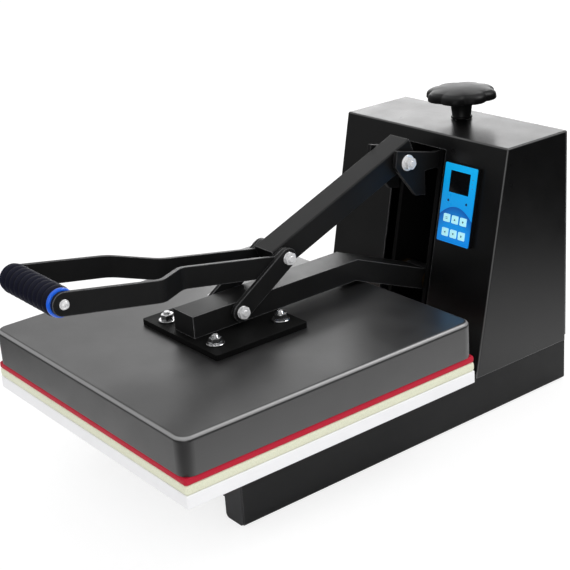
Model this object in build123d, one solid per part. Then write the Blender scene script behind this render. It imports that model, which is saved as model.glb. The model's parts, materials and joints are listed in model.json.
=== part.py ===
from build123d import *
import math
import os

# Manual clamshell heat press with a 380 mm square platen, in millimetres.
# Drawing frame: x = 0 on the centre plane, y = 0 at the platens' front edge and growing to the rear,
# z = 0 a little above the underside of the base rails. Everything is moved to the part's own frame when
# written: origin at the bottom centre of the whole press, +Z up, front towards -Y.

# Base rails and feet
sheet = 1.5
housing_width = 273.2
housing_half = housing_width / 2
rail_width = 30.0
rail_bottom_z = -2.5
rail_height = 56.0
rail_wall = 2.0
rail_front_y = 96.5
cap_flange = 2.0
cap_plug = 12.0
rail_outer_x = housing_half - sheet
rail_inner_x = rail_outer_x - rail_width
rail_middle_x = rail_outer_x - rail_width / 2
foot_height = 1.5
foot_radius = 8.0
foot_x = rail_middle_x - 1.2
foot_ys = (120.0, 562.0)
cross_member_ys = (125.0, 345.0, 545.0)
cross_member_zs = (12.0, 44.0)
cross_member_depth = 40.0
cross_member_wall = 2.0

# Lower platen and its pads
platen_size = 380.0
platen_half = platen_size / 2
platen_bottom_z = 81.7
platen_thickness = 14.6
cream_thickness = 10.3
red_thickness = 7.6
cream_bottom_z = platen_bottom_z + platen_thickness
red_bottom_z = cream_bottom_z + cream_thickness
red_top_z = red_bottom_z + red_thickness
post_ys = (122.0, 345.0)
post_flange = 4.0
post_radius = 11.0
post_head_radius = 22.0
post_foot = (26.0, 44.0)

# Upper platen
closed_gap = 0.3
heater_bottom_z = red_top_z + closed_gap
cover_top_z = red_top_z + 41.2
cover_wall = 3.0
cover_corner_radius = 14.0
cover_edge_radius = 5.0
heating_plate_thickness = 12.0
heating_plate_top_z = heater_bottom_z + heating_plate_thickness
boss_radius = 12.0
element_radius = 4.0
element_bend_radius = 50.0
element_reach = 150.0
element_ys = (60.0, 190.0, 320.0)
thermocouple_y = 120.0

# Mounting plate and its four bolts
mount_plate_half_width = 72.0
mount_plate_ys = (125.0, 246.0)
mount_plate_thickness = 6.5
mount_plate_top_z = cover_top_z + mount_plate_thickness
plate_bolt_x = 46.0
plate_bolt_ys = (142.0, 229.0)

# Lower arm: a square tube bent once, from its front end to the lower pivot in the housing
arm_half_width = 18.9
arm_height = 25.0
arm_wall = 3.0
arm_front_y = 134.0
arm_bend_y = 363.0
arm_middle_z = mount_plate_top_z + arm_height / 2
arm_barrel_radius = 16.5
lower_pivot = (480.0, 128.0)
spring_pin = (525.0, 133.0)
spring_pin_radius = 3.0
spring_x = 13.0
spring_radius = 7.0
spring_wire = 2.0

# Linkage pivots as (y, z)
link_front_pivot = (193.4, 176.5)
link_rear_pivot = (260.5, 220.0)
upper_pivot = (442.0, 286.2)
bolt_radius = 4.0
running_clearance = 0.05
nut_across_flats = 13.0
nut_height = 6.5
bolt_head_height = 5.3
upper_nut_height = 8.0
washer_thickness = 1.5
link_washer_radius = 7.2
upper_washer_radius = 9.5
plate_washer_radius = 10.0
link_inner_x = 21.3
link_thickness = 5.0
link_outer_x = link_inner_x + link_thickness
link_width = 22.5

# Upper arm: a straight square tube from the link to the pressure bracket, its middle line aimed at a
# point a little above the upper pivot
upper_arm_aim = (439.8, 290.7)
upper_arm_half_width = 16.5
upper_arm_height = 28.0
upper_arm_wall = 2.5
upper_arm_drop = 1.0
upper_arm_front_overhang = 10.6
upper_arm_rear_overhang = 20.3

# Handle
bar_thickness = 4.5
bar_front_height = 24.5
bar_rear_height = 24.0
bar_narrow_x = upper_arm_half_width
bar_wide_x = 50.5
bar_jog_ys = (80.0, 124.0)
bar_bend_radius = 25.0
grip_axis = (-30.4, 262.4)
bar_rear_middle = (247.5, 212.2)
bar_eye_width = 22.0
grip_radius = 16.0
grip_root_radius = 13.6
grip_rib_count = 10
grip_ring_widths = {"left": 1.5, "right": 5.0}
grip_ring_radius = 15.0
grip_rod_radius = 6.0
grip_washer_radius = 5.2
grip_head_radius = 4.6
grip_head_end = 5.0

# Housing
housing_bottom_z = 49.0
housing_top_z = 311.1
front_foot_y = 436.0
front_top_y = 491.6
housing_rear_y = 589.0
housing_edge_radius = 2.5
slot_half_width = 42.0
slot_bottom_z = 92.0
slot_top_z = 294.0
floor_thickness = 2.0
cover_screw_x = housing_half - 8
cover_screw_zs = (72.0, 182.0, 292.0)
side_plate_inner_x = 27.0
side_plate_thickness = 6.0
side_plate_top_z = 298.0
side_plate_rear_y = 575.0
shaft_radius = 10.0
bush_radius = 13.0

# Pressure bracket, screw and knob
lug_inner_x = 20.0
lug_thickness = 5.5
lug_outer_x = lug_inner_x + lug_thickness
lug_rear_y = 574.0
lug_rear_top_z = 289.5
lug_rear_bottom_z = 262.0
lug_top_bend = (484.0, lug_rear_top_z)
lug_nose = [(468.5, 240.5), (453.4, 243.6), (423.5, 284.0), (427.0, 303.0)]
lug_step = [(500.0, lug_rear_bottom_z), (488.0, 270.0), (469.0, 270.0)]
screw_y = 556.0
screw_radius = 6.0
screw_bottom_z = 228.0
screw_depth_in_knob = 6.0
screw_support_thickness = 6.0
knob_radius = 43.0
knob_lobe_count = 8
knob_lobe_radius = 17.5
knob_first_lobe = -16.5
knob_hub_radius = 11.3
knob_hub_top_radius = 14.0
knob_flange_radius = 12.8
knob_flange_height = 2.5
knob_bottom_z = housing_top_z + 0.8
knob_rim_bottom_z = 336.0
knob_top_z = 350.0
knob_dome_drop = 5.0

# Controller on the slanted front: its face is set out from the foot of the front panel
panel_x = 76.0
panel_up = 192.5
panel_width = 52.0
panel_height = 93.0
bezel_depth = 5.2
bezel_back = 1.2
case_size = (panel_width - 6, panel_height - 7)
case_depth = 44.0
case_wall = 2.0
label_thickness = 0.8
lcd_up = 218.0
lcd_size = (31.5, 25.5)
led_up = 195.5
led_offset_x = 14.5
lamp_radius = 1.6
lamp_depth = 2.8
lamp_height = 4.0
key_pitch_x = 13.2
key_ups = (174.8, 158.0)
key_size = (10.4, 9.4)
key_gap = 0.3
key_proud = 0.5
key_travel_space = 1.0

# Power inlet, switch and air slots on the back
vent_rows = 9
vent_bottom_z = 198.4
vent_pitch = 9.0
vent_height = 3.2
vent_xs = (48.0, 104.0)
inlet_middle = (-72.0, 96.0)
inlet_depth = 16.0
switch_middle = (-72.0, 150.0)
rocker_pivot_y = 584.0
rocker_rest_tilt = -7.0
relay_middle = (-89.0, 501.0)

front_tilt = math.degrees(math.atan2(front_top_y - front_foot_y, housing_top_z - housing_bottom_z))
front_plane = Plane(
    origin=(0, front_foot_y, housing_bottom_z),
    x_dir=(1, 0, 0),
    z_dir=(0, -math.cos(math.radians(front_tilt)), math.sin(math.radians(front_tilt))),
)


def block(x, y, z):
    # A box from (low, high) pairs along each axis.
    size = [high - low for low, high in (x, y, z)]
    middle = [(high + low) / 2 for low, high in (x, y, z)]
    return Pos(*middle) * Box(*size)


def rod_x(radius, start, end, y, z):
    return Pos((start + end) / 2, y, z) * Rot(0, 90, 0) * Cylinder(radius, end - start)


def rod_y(radius, start, end, x, z):
    return Pos(x, (start + end) / 2, z) * Rot(90, 0, 0) * Cylinder(radius, end - start)


def rod_z(radius, start, end, x, y):
    return Pos(x, y, (start + end) / 2) * Cylinder(radius, end - start)


def hexagon_x(across_flats, start, end, y, z):
    outline = RegularPolygon(across_flats / 2 / math.cos(math.pi / 6), 6)
    return Pos(start, y, z) * extrude(Plane.YZ * outline, end - start)


def hexagon_z(across_flats, start, end, x, y):
    outline = RegularPolygon(across_flats / 2 / math.cos(math.pi / 6), 6)
    return Pos(x, y, start) * extrude(outline, end - start)


def side_shape(points, start, end):
    # A side-view outline of (y, z) points, cut from x = start to x = end.
    outline = make_face(Polyline(*points, close=True))
    return Pos(start, 0, 0) * extrude(Plane.YZ * outline, end - start)


def flat_link(first, second, first_width, second_width, start, end):
    # A flat bar with round ends centred on two (y, z) points, wider at one end where the widths differ.
    ends = [Pos(*first) * Circle(first_width / 2), Pos(*second) * Circle(second_width / 2)]
    outline = make_hull([edge for circle in ends for edge in circle.edges()])
    return Pos(start, 0, 0) * extrude(Plane.YZ * outline, end - start)


def both_sides(shape):
    return group(shape, mirror(shape, about=Plane.YZ))


def group(*shapes):
    return Compound([solid for shape in shapes for solid in shape.solids()])


def on_panel(shape):
    # Places a shape on the slanted front, at the controller's middle, with +Z out of the front's surface.
    return front_plane * Pos(panel_x, panel_up, 0) * shape


def front_y(z):
    # y of the slanted front panel's outer face at a height.
    return front_foot_y + (z - housing_bottom_z) * math.tan(math.radians(front_tilt))


def base_rail(side):
    outer_x = (rail_inner_x, rail_outer_x)
    outer = block(outer_x, (rail_front_y + cap_flange, housing_rear_y),
                  (rail_bottom_z, rail_height))
    outer = fillet(outer.edges().filter_by(Axis.Y), 2.5)
    inner_x = (rail_inner_x + rail_wall, rail_outer_x - rail_wall)
    inner_z = (rail_bottom_z + rail_wall, rail_height - rail_wall)
    rail = outer - block(inner_x, (rail_front_y, housing_rear_y + 1), inner_z)
    return rail if side > 0 else mirror(rail, about=Plane.YZ)


def rail_end_caps():
    plug_x = (rail_inner_x + rail_wall, rail_outer_x - rail_wall)
    flange_end = rail_front_y + cap_flange
    flange = block((rail_inner_x, rail_outer_x), (rail_front_y, flange_end), (rail_bottom_z, rail_height))
    flange = fillet(flange.edges().filter_by(Axis.Y), 5)
    plug_bottom = rail_bottom_z + rail_wall
    plug = block(plug_x, (flange_end, flange_end + cap_plug), (plug_bottom, rail_height - rail_wall))
    rear_plug_y = (housing_rear_y - cap_plug, housing_rear_y)
    rear_plug = block(plug_x, rear_plug_y, (plug_bottom, housing_bottom_z - 2))
    return both_sides(group(flange + plug, rear_plug))


def base_cross_members():
    # Flat box tubes between the rails, open at their ends against them.
    low, high = cross_member_zs
    bars = []
    for y in cross_member_ys:
        half = cross_member_depth / 2
        outer = block((-rail_inner_x, rail_inner_x), (y - half, y + half), (low, high))
        half -= cross_member_wall
        bore_z = (low + cross_member_wall, high - cross_member_wall)
        bars.append(outer - block((-rail_inner_x - 1, rail_inner_x + 1), (y - half, y + half), bore_z))
    return group(*bars)


def rubber_feet():
    feet = []
    for y in foot_ys:
        foot = Cone(foot_radius - 1.5, foot_radius, foot_height)
        foot = Pos(foot_x, y, rail_bottom_z - foot_height / 2) * foot
        feet += [foot, mirror(foot, about=Plane.YZ)]
    return group(*feet)


def platen_posts():
    # Four short pillars from the rails up to the lower platen, each with a foot plate and a round head.
    x = rail_middle_x
    foot_top = rail_height + post_flange
    head_bottom = platen_bottom_z - post_flange
    posts = []
    for y in post_ys:
        foot = Pos(x, y, (rail_height + foot_top) / 2) * Box(*post_foot, post_flange)
        column = rod_z(post_radius, foot_top, head_bottom, x, y)
        post = foot + column + rod_z(post_head_radius, head_bottom, platen_bottom_z, x, y)
        posts += [post, mirror(post, about=Plane.YZ)]
    return group(*posts)


def square_layer(bottom, thickness, edge):
    layer = block((-platen_half, platen_half), (0, platen_size), (bottom, bottom + thickness))
    return chamfer(layer.edges(), edge)


def heater_cover():
    # A pressed pan, open underneath, with four stud holes through its top.
    outer = block((-platen_half, platen_half), (0, platen_size), (heater_bottom_z, cover_top_z))
    outer = fillet(outer.edges().filter_by(Axis.Z), cover_corner_radius)
    outer = fillet(outer.edges().group_by(Axis.Z)[-1], cover_edge_radius)
    inside = platen_half - cover_wall
    hollow = block((-inside, inside), (cover_wall, platen_size - cover_wall),
                   (heater_bottom_z - 1, cover_top_z - cover_wall))
    hollow = fillet(hollow.edges().filter_by(Axis.Z), cover_corner_radius - cover_wall)
    hollow = fillet(hollow.edges().group_by(Axis.Z)[-1], cover_edge_radius - cover_wall)
    cover = outer - hollow
    for x, y in plate_bolt_places():
        cover -= rod_z(bolt_radius, cover_top_z - 5, cover_top_z + 1, x, y)
    return cover


def plate_bolt_places():
    return [(x, y) for y in plate_bolt_ys for x in (-plate_bolt_x, plate_bolt_x)]


def heating_plate():
    # A cast plate inside the cover, with a boss up to the cover's top at each mounting bolt.
    inset = cover_wall + 0.5
    reach = platen_half - inset
    plate_z = (heater_bottom_z, heating_plate_top_z)
    plate = block((-reach, reach), (inset, platen_size - inset), plate_z)
    plate = fillet(plate.edges().filter_by(Axis.Z), cover_corner_radius - inset)
    for x, y in plate_bolt_places():
        plate += rod_z(boss_radius, heating_plate_top_z - 1, cover_top_z - cover_wall, x, y)
        plate -= rod_z(bolt_radius, heating_plate_top_z, cover_top_z, x, y)
    return plate


def heating_element():
    # One sheathed tube in an S of three runs, laid on the heating plate.
    z = heating_plate_top_z + element_radius + 0.05
    near, middle, far = element_ys
    corners = [(-1, near), (1, near), (1, middle), (-1, middle), (-1, far), (1, far)]
    path = FilletPolyline(*[(side * element_reach, y, z) for side, y in corners], radius=element_bend_radius)
    return sweep(Plane(origin=path @ 0, z_dir=path % 0) * Circle(element_radius), path=path)


def insulation_blanket():
    z = (heating_plate_top_z + 9, cover_top_z - cover_wall - 0.5)
    inset = 14.0
    reach = platen_half - inset
    blanket = block((-reach, reach), (inset, platen_size - inset), z)
    for x, y in plate_bolt_places():
        blanket -= rod_z(boss_radius + 0.5, z[0] - 1, z[1] + 1, x, y)
    return blanket


def thermocouple():
    # A thin probe held on the heating plate by a small clamp.
    y, z = thermocouple_y, heating_plate_top_z
    foot = block((-9, 9), (y - 7, y + 7), (z, z + 2))
    saddle = block((-9, 9), (y - 3, y + 3), (z + 1, z + 4))
    return foot + saddle + rod_x(2, -22, 10, y, z + 4)


def mounting_plate():
    half = mount_plate_half_width
    plate = block((-half, half), mount_plate_ys, (cover_top_z, mount_plate_top_z))
    plate = fillet(plate.edges().filter_by(Axis.Z), 3)
    for x, y in plate_bolt_places():
        plate -= rod_z(bolt_radius, cover_top_z - 1, mount_plate_top_z + 1, x, y)
    return plate


def plate_bolts():
    pieces = []
    for x, y in plate_bolt_places():
        washer_top = mount_plate_top_z + 2
        stud_top = washer_top + nut_height + 2.5
        washer = rod_z(plate_washer_radius, mount_plate_top_z, washer_top, x, y)
        nut = hexagon_z(nut_across_flats, washer_top, washer_top + nut_height, x, y)
        stud = rod_z(bolt_radius, heating_plate_top_z, stud_top, x, y)
        stud = chamfer(stud.edges().group_by(Axis.Z)[-1], 1)
        pieces += [washer - stud, nut - stud, stud]
    return group(*pieces)


def arm_outline(half_height, front_y_value, rear_trim):
    # The bent tube's outline: its centre line offset both ways, with a mitre at the bend.
    run = (lower_pivot[0] - arm_bend_y, lower_pivot[1] - arm_middle_z)
    length = math.hypot(*run)
    along = (run[0] / length, run[1] / length)
    across = (-along[1], along[0])
    turn = math.atan2(-run[1], run[0])
    mitre = half_height * math.tan(turn / 2)
    end = (lower_pivot[0] - along[0] * rear_trim, lower_pivot[1] - along[1] * rear_trim)
    return [
        (front_y_value, arm_middle_z + half_height),
        (arm_bend_y + mitre, arm_middle_z + half_height),
        (end[0] + across[0] * half_height, end[1] + across[1] * half_height),
        (end[0] - across[0] * half_height, end[1] - across[1] * half_height),
        (arm_bend_y - mitre, arm_middle_z - half_height),
        (front_y_value, arm_middle_z - half_height),
    ]


def lower_arm():
    arm = side_shape(arm_outline(arm_height / 2, arm_front_y, 0), -arm_half_width, arm_half_width)
    hollow_half = arm_half_width - arm_wall
    hollow_outline = arm_outline(arm_height / 2 - arm_wall, arm_front_y + arm_wall, 20)
    hollow = side_shape(hollow_outline, -hollow_half, hollow_half)
    barrel = rod_x(arm_barrel_radius, -arm_half_width, arm_half_width, *lower_pivot)
    tail = flat_link(lower_pivot, spring_pin, 20, 14, -4, 4)
    pin = rod_x(spring_pin_radius, -21, 21, *spring_pin)
    arm = arm + barrel - hollow + tail + pin
    arm -= rod_x(bush_radius, -arm_half_width - 1, arm_half_width + 1, *lower_pivot)
    return arm - rod_x(bolt_radius, -arm_half_width - 1, arm_half_width + 1, *link_front_pivot)


def pivot_bushes():
    inner = shaft_radius + running_clearance
    sleeve = rod_x(bush_radius, 0.5, arm_half_width, *lower_pivot)
    flange = rod_x(bush_radius + 3, arm_half_width, side_plate_inner_x - 0.3, *lower_pivot)
    bush = sleeve + flange - rod_x(inner, 0, side_plate_inner_x, *lower_pivot)
    return both_sides(bush)


def lower_pivot_shaft():
    reach = side_plate_inner_x + side_plate_thickness
    shaft = rod_x(shaft_radius, -reach - 7, reach + 7, *lower_pivot)
    collar = rod_x(14, reach, reach + 5, *lower_pivot) - shaft
    return group(shaft, both_sides(collar))


def cross_bolt(pivot, start_x, outer_x, washer_radius, head_height=bolt_head_height):
    # A bolt along X through a pivot, with a washer and a hexagon on each side. Where it starts away from
    # the centre plane, it is a stub on each side.
    head_start = outer_x + washer_thickness
    shank = rod_x(bolt_radius, start_x if start_x > 0 else -head_start, head_start, *pivot)
    head = hexagon_x(nut_across_flats, head_start, head_start + head_height, *pivot)
    washer = rod_x(washer_radius, outer_x, head_start, *pivot)
    washer -= rod_x(bolt_radius, 0, head_start + 1, *pivot)
    if start_x > 0:
        return both_sides(group(shank + head, washer))
    return group(shank + head + mirror(head, about=Plane.YZ), both_sides(washer))


def link_front_bolt():
    return cross_bolt(link_front_pivot, 0, link_outer_x + 0.1, link_washer_radius)


def link_rear_bolts():
    return cross_bolt(link_rear_pivot, link_inner_x + 0.1, link_outer_x, link_washer_radius)


def link_spacers():
    ring = rod_x(link_washer_radius, arm_half_width, link_inner_x - 0.1, *link_front_pivot)
    return both_sides(ring - rod_x(bolt_radius, 0, link_inner_x + 1, *link_front_pivot))


def link(side):
    bar = flat_link(link_front_pivot, link_rear_pivot, link_width, link_width, link_inner_x, link_outer_x)
    bar = chamfer(bar.edges().group_by(Axis.X)[-1], 0.6)
    bar -= rod_x(bolt_radius + running_clearance, 0, link_outer_x + 1, *link_front_pivot)
    bar -= rod_x(bolt_radius, 0, link_outer_x + 1, *link_rear_pivot)
    return bar if side > 0 else mirror(bar, about=Plane.YZ)


def upper_arm_frame():
    run = (upper_arm_aim[0] - link_rear_pivot[0], upper_arm_aim[1] - link_rear_pivot[1])
    return Pos(0, *link_rear_pivot) * Rot(math.degrees(math.atan2(run[1], run[0])), 0, 0), math.hypot(*run)


def upper_arm():
    place, length = upper_arm_frame()
    ends = (-upper_arm_front_overhang, length + upper_arm_rear_overhang)
    low = -upper_arm_height / 2 - upper_arm_drop
    high = low + upper_arm_height
    tube = block((-upper_arm_half_width, upper_arm_half_width), ends, (low, high))
    tube = fillet(tube.edges().filter_by(Axis.Y), 2)
    inner = upper_arm_half_width - upper_arm_wall
    tube -= block((-inner, inner), (ends[0] + upper_arm_wall, ends[1] - upper_arm_wall),
                  (low + upper_arm_wall, high - upper_arm_wall))
    tube = place * tube
    tube -= rod_x(bolt_radius, -upper_arm_half_width - 1, upper_arm_half_width + 1, *link_rear_pivot)
    bore = bolt_radius + running_clearance
    return tube - rod_x(bore, -upper_arm_half_width - 1, upper_arm_half_width + 1, *upper_pivot)


def upper_arm_pin():
    reach = link_inner_x - 0.3
    return rod_x(bolt_radius, -reach, reach, *link_rear_pivot)


def handle_bar(side):
    # Side view: a straight bar with a round front end, joined to a round eye at the rear pivot.
    reach = bar_wide_x + bar_thickness + 1
    straight = flat_link(grip_axis, bar_rear_middle, bar_front_height, bar_rear_height, 0, reach)
    eye = flat_link(bar_rear_middle, link_rear_pivot, bar_rear_height, bar_eye_width, 0, reach)
    side_view = straight + eye
    # Plan view: wide at the grip, stepping in to lie along the upper arm.
    front = grip_axis[0] - bar_front_height
    rear = link_rear_pivot[0] + bar_front_height
    jog_front, jog_rear = bar_jog_ys
    inner = [(bar_wide_x, front), (bar_wide_x, jog_front), (bar_narrow_x, jog_rear), (bar_narrow_x, rear)]
    outer = [(x + bar_thickness, y) for x, y in inner]
    shift = bar_thickness * math.tan(math.atan2(bar_wide_x - bar_narrow_x, jog_rear - jog_front) / 2)
    outer[1] = (outer[1][0], outer[1][1] + shift)
    outer[2] = (outer[2][0], outer[2][1] + shift)
    plan = make_face(Polyline(*inner, *reversed(outer), close=True))
    corners = plan.vertices().filter_by(lambda corner: front + 1 < corner.Y < rear - 1)
    plan = extrude(fillet(corners, bar_bend_radius), 400)
    bar = side_view & plan
    bar -= rod_x(bolt_radius, 0, reach, *link_rear_pivot)
    bar -= rod_x(bolt_radius, 0, reach, *grip_axis)
    return bar if side > 0 else mirror(bar, about=Plane.YZ)


def grip_rod():
    tube = rod_x(grip_rod_radius, -bar_wide_x, bar_wide_x, *grip_axis)
    return tube + rod_x(bolt_radius, -bar_wide_x - bar_thickness, bar_wide_x + bar_thickness, *grip_axis)


def ribbed_grip():
    low = -bar_wide_x + grip_ring_widths["left"]
    high = bar_wide_x - grip_ring_widths["right"]
    pitch = (high - low) / grip_rib_count
    edges = []
    for rib in range(grip_rib_count):
        start = low + rib * pitch
        edges.append(ThreePointArc((start, grip_root_radius), (start + pitch / 2, grip_radius),
                                   (start + pitch, grip_root_radius)))
    edges.append(Polyline((high, grip_root_radius), (high, grip_rod_radius), (low, grip_rod_radius),
                          (low, grip_root_radius)))
    body = revolve(make_face(edges), Axis.X)
    return Pos(0, *grip_axis) * body


def grip_rings():
    # A thin collar against the left bar and a wide one against the right bar.
    left = rod_x(grip_ring_radius, -bar_wide_x, -bar_wide_x + grip_ring_widths["left"], *grip_axis)
    right = rod_x(grip_ring_radius, bar_wide_x - grip_ring_widths["right"], bar_wide_x, *grip_axis)
    right = fillet(right.edges().group_by(Axis.X)[0], 1.2)
    bore = rod_x(grip_rod_radius, -bar_wide_x - 1, bar_wide_x + 1, *grip_axis)
    return group(left - bore, right - bore)


def grip_bolts():
    start = bar_wide_x + bar_thickness
    washer = rod_x(grip_washer_radius, start, start + 1.2, *grip_axis)
    head = rod_x(grip_head_radius, start + 1.2, start + grip_head_end, *grip_axis)
    head = fillet(head.edges().group_by(Axis.X)[-1], 2.4)
    socket = hexagon_x(4, start + grip_head_end - 2, start + grip_head_end + 1, *grip_axis)
    return both_sides(washer + head - socket)


def pressure_bracket():
    # Two lugs that reach out of the slot to the upper pivot, on a nut block that the screw passes through.
    rear = [(lug_rear_y, lug_rear_top_z), (lug_rear_y, lug_rear_bottom_z)]
    lug = side_shape([lug_top_bend, *rear, *lug_step, *lug_nose], lug_inner_x, lug_outer_x)
    bracket = lug + mirror(lug, about=Plane.YZ)
    nut_y = (screw_y - 18, screw_y + 18)
    bracket += block((-lug_inner_x, lug_inner_x), nut_y, (lug_rear_bottom_z, lug_rear_top_z))
    bracket -= rod_z(screw_radius + running_clearance, 200, 320, 0, screw_y)
    return bracket - rod_x(bolt_radius, -40, 40, *upper_pivot)


def upper_pivot_bolt():
    ring = rod_x(9, upper_arm_half_width + 0.2, lug_inner_x, *upper_pivot)
    ring -= rod_x(bolt_radius, 0, lug_outer_x, *upper_pivot)
    bolt = cross_bolt(upper_pivot, 0, lug_outer_x, upper_washer_radius, upper_nut_height)
    return group(bolt, both_sides(ring))


def pressure_screw():
    # The screw's collar rests on its support plate, and a clip below keeps it from lifting.
    screw = rod_z(screw_radius, screw_bottom_z, knob_top_z - screw_depth_in_knob, 0, screw_y)
    support_top = side_plate_top_z + screw_support_thickness
    collar = rod_z(9.5, support_top + 0.2, support_top + 3.5, 0, screw_y)
    clip = rod_z(9, side_plate_top_z - 3, side_plate_top_z - 0.2, 0, screw_y)
    return screw + collar + clip


def pressure_knob():
    lobe_middle = knob_radius - knob_lobe_radius
    outline = Circle(lobe_middle)
    for lobe in range(knob_lobe_count):
        angle = math.radians(knob_first_lobe + 360 / knob_lobe_count * lobe)
        middle = (lobe_middle * math.cos(angle), lobe_middle * math.sin(angle))
        outline += Pos(*middle) * Circle(knob_lobe_radius)
    rim = Pos(0, screw_y, knob_rim_bottom_z) * extrude(outline, knob_top_z - knob_rim_bottom_z)
    dome_radius = (knob_radius ** 2 + knob_dome_drop ** 2) / (2 * knob_dome_drop)
    rim &= Pos(0, screw_y, knob_top_z - dome_radius) * Sphere(dome_radius)
    hub_height = knob_rim_bottom_z + 1 - knob_bottom_z
    hub = Cone(knob_hub_radius, knob_hub_top_radius, hub_height)
    hub = Pos(0, screw_y, knob_bottom_z + hub_height / 2) * hub
    hub += rod_z(knob_flange_radius, knob_bottom_z, knob_bottom_z + knob_flange_height, 0, screw_y)
    return rim + hub - rod_z(screw_radius, knob_bottom_z - 1, knob_top_z - screw_depth_in_knob, 0, screw_y)


def housing_outline(offset, bottom, rear):
    # The housing's side view, its front and top faces moved inwards by an offset.
    lean = math.tan(math.radians(front_tilt))
    shift = offset / math.cos(math.radians(front_tilt))
    top = housing_top_z - offset
    return [
        (front_foot_y + (bottom - housing_bottom_z) * lean + shift, bottom),
        (front_foot_y + (top - housing_bottom_z) * lean + shift, top),
        (rear, top),
        (rear, bottom),
    ]


def housing_bend_edges(shape, bottom, rear):
    def on_bend(edge):
        box = edge.bounding_box()
        return box.max.Z > bottom + 1 and box.min.Y < rear - 1
    return shape.edges().filter_by(on_bend)


def housing_shell():
    rear = housing_rear_y - sheet
    outer = side_shape(housing_outline(0, housing_bottom_z, rear), -housing_half, housing_half)
    outer = fillet(housing_bend_edges(outer, housing_bottom_z, rear), housing_edge_radius)
    inner_half = housing_half - sheet
    inner = side_shape(housing_outline(sheet, housing_bottom_z - 1, rear + 1), -inner_half, inner_half)
    inner = fillet(housing_bend_edges(inner, housing_bottom_z - 1, rear + 1), housing_edge_radius - sheet)
    shell = outer - inner
    front_notch = (front_foot_y - 5, front_foot_y + 30)
    shell -= block((-inner_half, inner_half), front_notch, (housing_bottom_z - 1, rail_height))
    slot_x = (-slot_half_width, slot_half_width)
    shell -= block(slot_x, (front_foot_y, front_top_y + 5), (slot_bottom_z, slot_top_z))
    shell -= on_panel(Box(*case_size, 10))
    return shell - rod_z(screw_radius + 2, housing_top_z - 5, housing_top_z + 5, 0, screw_y)


def housing_screws():
    # Six screws through the back cover, three up each side.
    pieces = []
    for z in cover_screw_zs:
        head = rod_y(4.5, housing_rear_y, housing_rear_y + 2.4, cover_screw_x, z)
        head = fillet(head.edges().group_by(Axis.Y)[-1], 1.4)
        screw = head + rod_y(2, housing_rear_y - 8, housing_rear_y + 0.5, cover_screw_x, z)
        pieces += [screw, mirror(screw, about=Plane.YZ)]
    return group(*pieces)


def housing_back_cover():
    cover = block((-housing_half, housing_half), (housing_rear_y - sheet, housing_rear_y),
                  (housing_bottom_z, housing_top_z))
    cover = fillet(cover.edges().filter_by(Axis.Y), 2)
    through = (housing_rear_y - 5, housing_rear_y + 5)
    rail_notch = block((rail_inner_x, housing_half + 1), through, (housing_bottom_z - 1, rail_height))
    cover -= both_sides(rail_notch)
    for row in range(vent_rows):
        z = vent_bottom_z + row * vent_pitch
        cover -= both_sides(block(vent_xs, through, (z, z + vent_height)))
    cover -= inlet_body()
    switch_x, switch_z = switch_middle
    cover -= block((switch_x - 10, switch_x + 10), through, (switch_z - 14, switch_z + 14))
    return cover - housing_screws()


def housing_floor():
    reach = rail_outer_x - 0.3
    y_low = front_y(rail_height) + sheet + 1
    y_high = housing_rear_y - sheet
    floor = block((-reach, reach), (y_low, y_high), (rail_height, rail_height + floor_thickness))
    flange = block((-reach, reach), (y_high - floor_thickness, y_high), (rail_height, rail_height + 28))
    return floor + flange - housing_screws()


def pivot_side_plates():
    bottom = rail_height + floor_thickness
    outline = [(front_y(bottom) + 6, bottom), (front_y(side_plate_top_z) + 6, side_plate_top_z),
               (side_plate_rear_y, side_plate_top_z), (side_plate_rear_y, bottom)]
    plate = side_shape(outline, side_plate_inner_x, side_plate_inner_x + side_plate_thickness)
    plate -= rod_x(shaft_radius, 0, 60, *lower_pivot)
    return both_sides(plate)


def screw_support():
    reach = side_plate_inner_x + side_plate_thickness
    plate_z = (side_plate_top_z, side_plate_top_z + screw_support_thickness)
    plate = block((-reach, reach), (screw_y - 32, side_plate_rear_y), plate_z)
    return plate - rod_z(screw_radius + running_clearance, 280, 320, 0, screw_y)


def controller_bezel():
    frame = Pos(0, 0, bezel_depth / 2) * Box(panel_width, panel_height, bezel_depth)
    frame = fillet(frame.edges().filter_by(Axis.Z), 2)
    return on_panel(frame - panel_openings(bezel_back, bezel_depth + 1))


def panel_cut(column, up, width, height, low, high):
    return Pos(column, up - panel_up, (low + high) / 2) * Box(width, height, high - low)


def panel_openings(low, high):
    # The holes in the bezel and its overlay for the display, the keys and the lamps.
    key_width, key_height = [side + 2 * key_gap for side in key_size]
    holes = [panel_cut(0, lcd_up, *lcd_size, low, high)]
    for column, up in key_places():
        holes.append(panel_cut(column, up, key_width, key_height, low, high))
    for column in (-led_offset_x, led_offset_x):
        lamp_low = bezel_depth - lamp_depth
        lamp = Cylinder(lamp_radius, high - lamp_low)
        holes.append(Pos(column, led_up - panel_up, (lamp_low + high) / 2) * lamp)
    return group(*holes)


def key_places():
    return [(column, up) for up in key_ups for column in (-key_pitch_x, 0, key_pitch_x)]


def controller_label():
    overlay = Box(panel_width - 1, panel_height - 1, label_thickness)
    overlay = fillet(overlay.edges().filter_by(Axis.Z), 1.6)
    overlay = Pos(0, 0, bezel_depth + label_thickness / 2) * overlay
    return on_panel(overlay - panel_openings(bezel_depth - 1, bezel_depth + 2))


def lcd_window():
    return on_panel(panel_cut(0, lcd_up, *lcd_size, 3.2, bezel_depth + label_thickness - 0.2))


def indicator_lights():
    lights = []
    for column in (-led_offset_x, led_offset_x):
        middle = bezel_depth - lamp_depth + lamp_height / 2
        lamp = Pos(column, led_up - panel_up, middle) * Cylinder(lamp_radius, lamp_height)
        lights.append(fillet(lamp.edges().group_by(Axis.Z)[-1], 0.6))
    return on_panel(group(*lights))


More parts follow.
